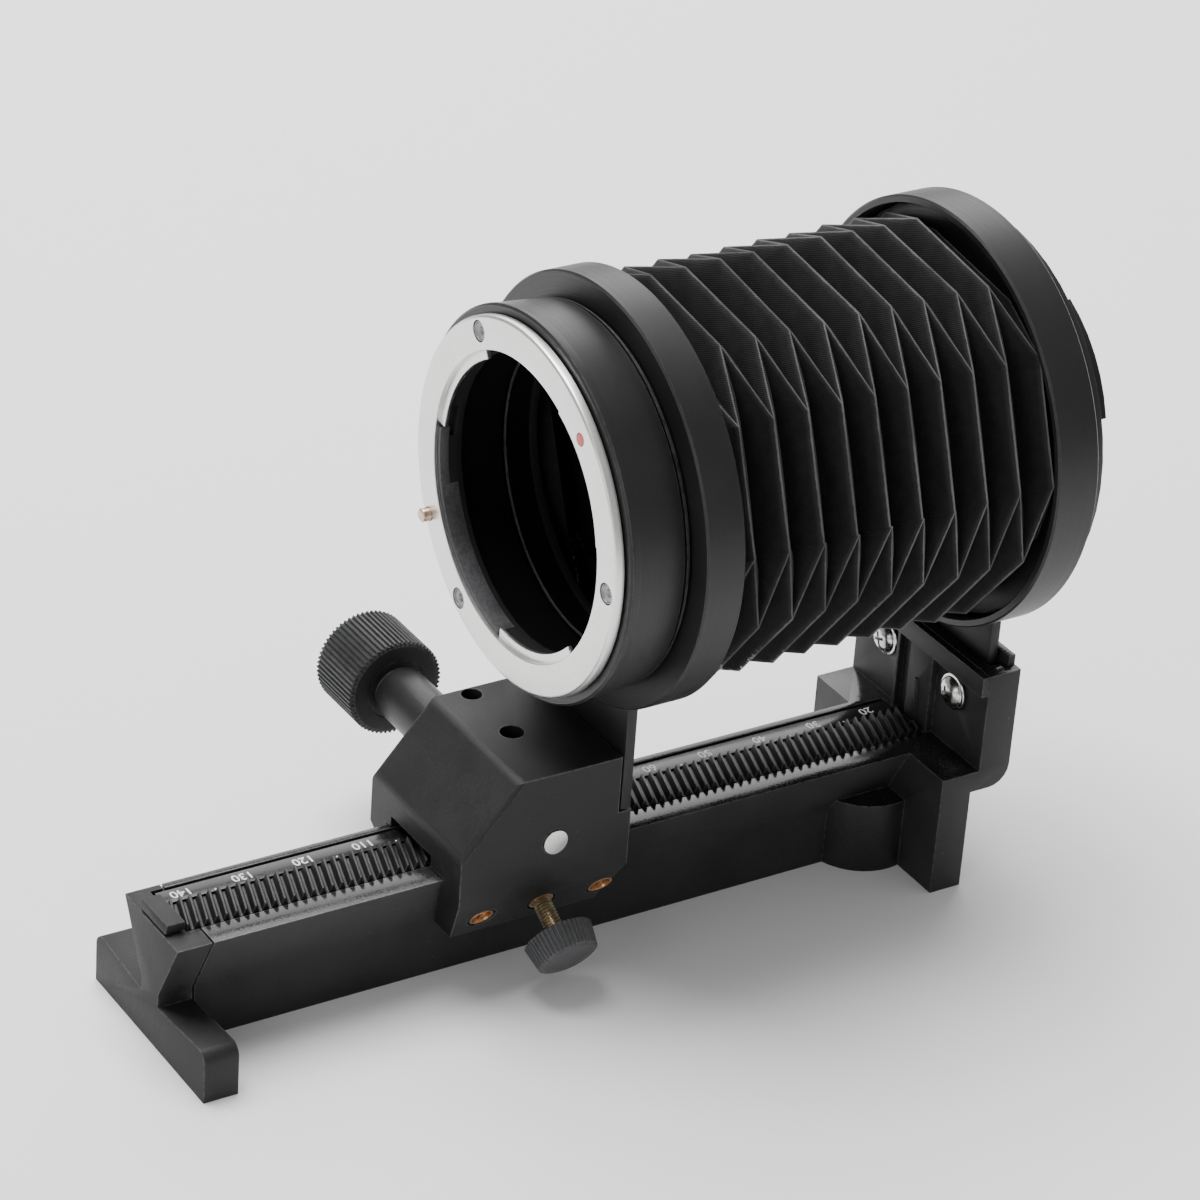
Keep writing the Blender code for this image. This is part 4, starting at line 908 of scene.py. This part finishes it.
def buildThread():
    # one thread's outline swept in a helix, with its two open ends filled
    t = threadValues
    pad, out = slopeAxis()
    deselectAll()
    bpy.ops.mesh.primitive_plane_add(size=2 * mm, location=(0, 0, 0))
    piece = bpy.context.object
    edit(piece)
    selectBy(piece, "verts", lambda v: v.index > 0)
    bpy.ops.mesh.delete(type="VERT")
    bpy.ops.mesh.select_all(action="SELECT")
    start = bmesh.from_edit_mesh(piece.data).verts
    start.ensure_lookup_table()
    bpy.ops.transform.translate(value=Vector((t["root"], 0, 0)) * mm - start[0].co)
    for move in ((t["crest"] - t["root"], 0.2), (0.0, 0.06), (t["root"] - t["crest"], 0.2), (0.0, 0.04)):
        step = Vector((move[0], 0, move[1])) * mm
        bpy.ops.mesh.extrude_vertices_move(TRANSFORM_OT_translate={"value": step})
    leaveEdit()
    applyModifier(piece, "SCREW", screw_offset=t["pitch"] * mm, iterations=t["turns"],
                  steps=t["steps"], render_steps=t["steps"], use_merge_vertices=True,
                  merge_threshold=0.000004)
    edit(piece)
    bpy.ops.mesh.select_all(action="SELECT")
    bpy.ops.mesh.remove_doubles(threshold=0.000003)
    bpy.ops.mesh.fill_holes(sides=0)
    bpy.ops.mesh.select_all(action="SELECT")
    bpy.ops.mesh.normals_make_consistent(inside=False)
    leaveEdit()
    place(piece, pad + out * t["from"], out)
    smoothBy(piece, 25)
    return finishPiece(piece, "threadedStud", materials["brass"], "clamp_screw", ["clamp_stud"])


buildFocusKnob()
buildClamp()
buildThread()
print("knobs ready")


# ---- numbers and dots on the scale strip

scaleMarks = {"first": 20, "last": 140, "step": 10, "zeroAt": 78.0, "height": 2.35, "x": -5.0,
              "dotX": -3.75, "dotRadius": 0.16, "thick": 0.03}


def buildScaleMarks():
    s = scaleMarks
    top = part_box("scale_strip")[1][2]
    made = []
    for number in range(s["first"], s["last"] + 1, s["step"]):
        deselectAll()
        bpy.ops.object.text_add(location=(0, 0, 0))
        text = bpy.context.object
        text.data.body = str(number)
        text.data.align_x = "CENTER"
        text.data.align_y = "CENTER"
        text.data.size = s["height"] * mm
        text.data.extrude = s["thick"] / 2 * mm
        text.data.offset = 0.03 * mm
        bpy.ops.object.convert(target="MESH")
        mark = bpy.context.object
        mark.data.transform(Matrix.Rotation(-math.pi / 2, 4, "Z"))
        mark.data.transform(Matrix.Translation((s["x"] * mm, (s["zeroAt"] - number) * mm, top)))
        made.append(mark)
    for number in range(s["first"] + 5, s["last"] + 1, s["step"]):
        deselectAll()
        bpy.ops.mesh.primitive_cylinder_add(vertices=16, radius=s["dotRadius"] * mm,
                                            depth=s["thick"] * mm,
                                            location=(s["dotX"] * mm, (s["zeroAt"] - number) * mm, top))
        dot = bpy.context.object
        dot.data.transform(dot.matrix_world)
        dot.matrix_world = Matrix.Identity(4)
        made.append(dot)
    marks = joinPieces(made[0], made[1:])
    return finishPiece(marks, "scaleNumbersAndDots", materials["white"], "rail_unit", ())


buildScaleMarks()
print("scale ready")


# ---- pleated cloth

bellows = {"firstRidge": 8.75, "halfPitch": 2.895, "rows": 20, "ridgeApothem": 29.3,
           "ridgeHalf": 9.52, "endHalf": 9.9, "valleyApothem": 24.2, "valleyHalf": 10.3, "turn": 22.0,
           "endApothem": 26.2, "frontEnd": 6.25, "rearEnd": 62.05, "strip": 6.04, "side": 30.64,
           "fine": 6, "bulge": 0.28, "thick": 0.32}


def pleatPoint(side, end, row):
    # corner of one side's straight fold at a row; end is -1 or +1
    b = bellows
    ridge = (row + side) % 2 == 1
    apothem = b["ridgeApothem"] if ridge else b["valleyApothem"]
    half = b["ridgeHalf"] if ridge else b["valleyHalf"]
    y = b["firstRidge"] + b["halfPitch"] * (row - 1)
    if row == 0 or row == b["rows"]:
        y = b["frontEnd"] if row == 0 else b["rearEnd"]
        apothem = b["endApothem"]
        half = b["endHalf"]
    angle = math.radians(b["turn"] + 60 * side)
    out = Vector((math.cos(angle), 0, math.sin(angle)))
    along = Vector((-math.sin(angle), 0, math.cos(angle)))
    uneven = 0.16 * math.sin(12.9 * row + 4.1 * side) + 0.10 * math.sin(5.3 * row * side + end)
    if row in (0, b["rows"]):
        uneven = 0.0
    spot = out * (apothem + uneven) + along * (end * half)
    flat = (b["side"] * side + end * half, b["strip"] * row)
    return (spot.x, y + uneven * 0.8, spot.z + axisHeight), flat, 0.0 if ridge else b["strip"]


def splitTriangle(corners, flats, folds, fine):
    # small triangles of one flat facet, each with its place, flat place and distance to the fold
    def at(i, j):
        a, b = i / fine, j / fine
        c = 1 - a - b
        weight = (c, a, b)
        spot = sum((Vector(p) * w for p, w in zip(corners, weight)), Vector((0, 0, 0)))
        flat = [sum(p[n] * w for p, w in zip(flats, weight)) for n in (0, 1)]
        fold = sum(f * w for f, w in zip(folds, weight))
        return spot, flat, fold
    for i in range(fine):
        for j in range(fine - i):
            yield at(i, j), at(i + 1, j), at(i, j + 1)
            if i + j < fine - 1:
                yield at(i + 1, j), at(i + 1, j + 1), at(i, j + 1)


def buildBellows():
    b = bellows
    facets = []
    for row in range(b["rows"]):
        for side in range(6):
            low = [pleatPoint(side, -1, row), pleatPoint(side, 1, row)]
            high = [pleatPoint(side, -1, row + 1), pleatPoint(side, 1, row + 1)]
            facets += [(low[0], low[1], high[1]), (low[0], high[1], high[0])]
            here, ahead = low[1], high[1]
            nextLow, nextHigh = pleatPoint(side + 1, -1, row), pleatPoint(side + 1, -1, row + 1)
            if (row + side) % 2 == 1:          # this side's ridge runs on to the next row's ridge
                facets += [(here, nextLow, nextHigh), (here, nextHigh, ahead)]
            else:
                facets += [(here, nextLow, ahead), (nextLow, nextHigh, ahead)]
    places, faces, flats, folds = [], [], [], []
    for facet in facets:
        spots = [c[0] for c in facet]
        normal = (Vector(spots[1]) - Vector(spots[0])).cross(Vector(spots[2]) - Vector(spots[0]))
        middle = sum((Vector(s) for s in spots), Vector((0, 0, 0))) / 3
        outward = Vector((middle.x, 0, middle.z - axisHeight))
        normal = normal.normalized() * (1 if normal.dot(outward) > 0 else -1)
        for small in splitTriangle(spots, [c[1] for c in facet], [c[2] for c in facet], b["fine"]):
            face = []
            for spot, flat, fold in small:
                face.append(len(places))
                places.append(tuple(spot * mm))
                flats.append((flat[0] * mm, flat[1] * mm))
                folds.append(fold)
            faces.append(face)
    mesh = bpy.data.meshes.new("cloth")
    mesh.from_pydata(places, [], faces)
    uv = mesh.uv_layers.new(name="flatCloth")
    for loop in mesh.loops:
        uv.data[loop.index].uv = flats[loop.vertex_index]
    attribute = mesh.attributes.new("foldDistance", "FLOAT", "POINT")
    attribute.data.foreach_set("value", folds)
    piece = bpy.data.objects.new("cloth", mesh)
    bpy.context.scene.collection.objects.link(piece)
    edit(piece)
    bpy.ops.mesh.select_all(action="SELECT")
    bpy.ops.mesh.remove_doubles(threshold=0.00001)
    bpy.ops.mesh.normals_make_consistent(inside=False)
    leaveEdit()
    mesh = piece.data
    mesh.update()
    strip = b["strip"]
    values = [a.value for a in mesh.attributes["foldDistance"].data]
    normals = [v.normal.copy() for v in mesh.vertices]
    for vertex, value, normal in zip(mesh.vertices, values, normals):
        share = min(max(value / strip, 0.0), 1.0)
        swell = math.sin(math.pi * share) * b["bulge"]
        soft = 0.12 * math.sin(vertex.co.x / mm * 0.9 + vertex.co.z / mm * 0.7) * math.sin(math.pi * share)
        vertex.co += normal * (swell + soft) * mm
    applyModifier(piece, "SOLIDIFY", thickness=b["thick"] * mm, offset=-1.0, use_even_offset=False)
    smoothBy(piece, 22)
    piece.name = "pleatedBellowsCloth"
    piece.data.name = "pleatedBellowsCloth"
    piece.data.materials.append(materials["cloth"])
    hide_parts("bellows")
    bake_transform(piece)
    return piece


buildBellows()
print("cloth ready")


# ---- floor, light and camera

stageValues = {"floor": 6.0, "world": 0.5, "cameraAt": (501.57, -326.98, 397.86), "azimuth": 56.63,
               "elevation": 29.62, "roll": 4.31, "lens": 141.07}


def buildFloor():
    deselectAll()
    bpy.ops.mesh.primitive_plane_add(size=stageValues["floor"], location=(0, 0, 0))
    floor = bpy.context.object
    floor.name = "paleFloor"
    material, tree, shader = startMaterial("paleFloorPaper", 0.9, Specular_IOR_Level=0.2)
    grain = useGroup(tree, "mouldedGrain", Scale=300.0)
    link(tree, mixColour(tree, grain.outputs["Shade"], (0.93, 0.93, 0.93, 1), (0.95, 0.95, 0.95, 1)),
         shader.inputs["Base Color"])
    floor.data.materials.append(material)


def addLight(name, place, target, size, power, colour=(1, 1, 1)):
    deselectAll()
    bpy.ops.object.light_add(type="AREA", location=place)
    light = bpy.context.object
    light.name = name
    light.data.shape = "RECTANGLE"
    light.data.size = size[0]
    light.data.size_y = size[1]
    light.data.energy = power
    light.data.color = colour
    aim = Vector(target) - Vector(place)
    light.rotation_euler = aim.to_track_quat("-Z", "Y").to_euler()


def buildWorld():
    world = bpy.data.worlds.new("studio")
    bpy.context.scene.world = world
    world.use_nodes = True
    world.node_tree.nodes["Background"].inputs["Color"].default_value = (1, 1, 1, 1)
    world.node_tree.nodes["Background"].inputs["Strength"].default_value = stageValues["world"]


def buildCamera():
    s = stageValues
    azimuth, elevation, roll = (math.radians(s[k]) for k in ("azimuth", "elevation", "roll"))
    back = Vector((math.sin(azimuth) * math.cos(elevation), -math.cos(azimuth) * math.cos(elevation),
                   math.sin(elevation)))
    level = Vector((math.cos(azimuth), math.sin(azimuth), 0))
    plumb = back.cross(level)
    right = level * math.cos(roll) + plumb * math.sin(roll)
    up = plumb * math.cos(roll) - level * math.sin(roll)
    deselectAll()
    bpy.ops.object.camera_add()
    camera = bpy.context.object
    camera.name = "viewCamera"
    camera.data.lens = s["lens"]
    camera.data.sensor_width = 36
    camera.data.clip_start = 0.01
    turn = Matrix((right, up, back)).transposed().to_4x4()
    camera.matrix_world = Matrix.Translation(Vector(s["cameraAt"]) * mm) @ turn
    bpy.context.scene.camera = camera


buildFloor()
buildWorld()
addLight("keyAbove", (-0.25, -0.1, 0.95), (0, 0, 0.05), (0.7, 0.7), 16.0)
addLight("farSoftbox", (-0.66, 0.43, 0.50), (0, 0, 0.06), (0.8, 0.5), 4.9)
addLight("frontFill", (0.35, -0.85, 0.35), (0, 0, 0.05), (0.5, 0.35), 1.2)
buildCamera()
print("stage ready")
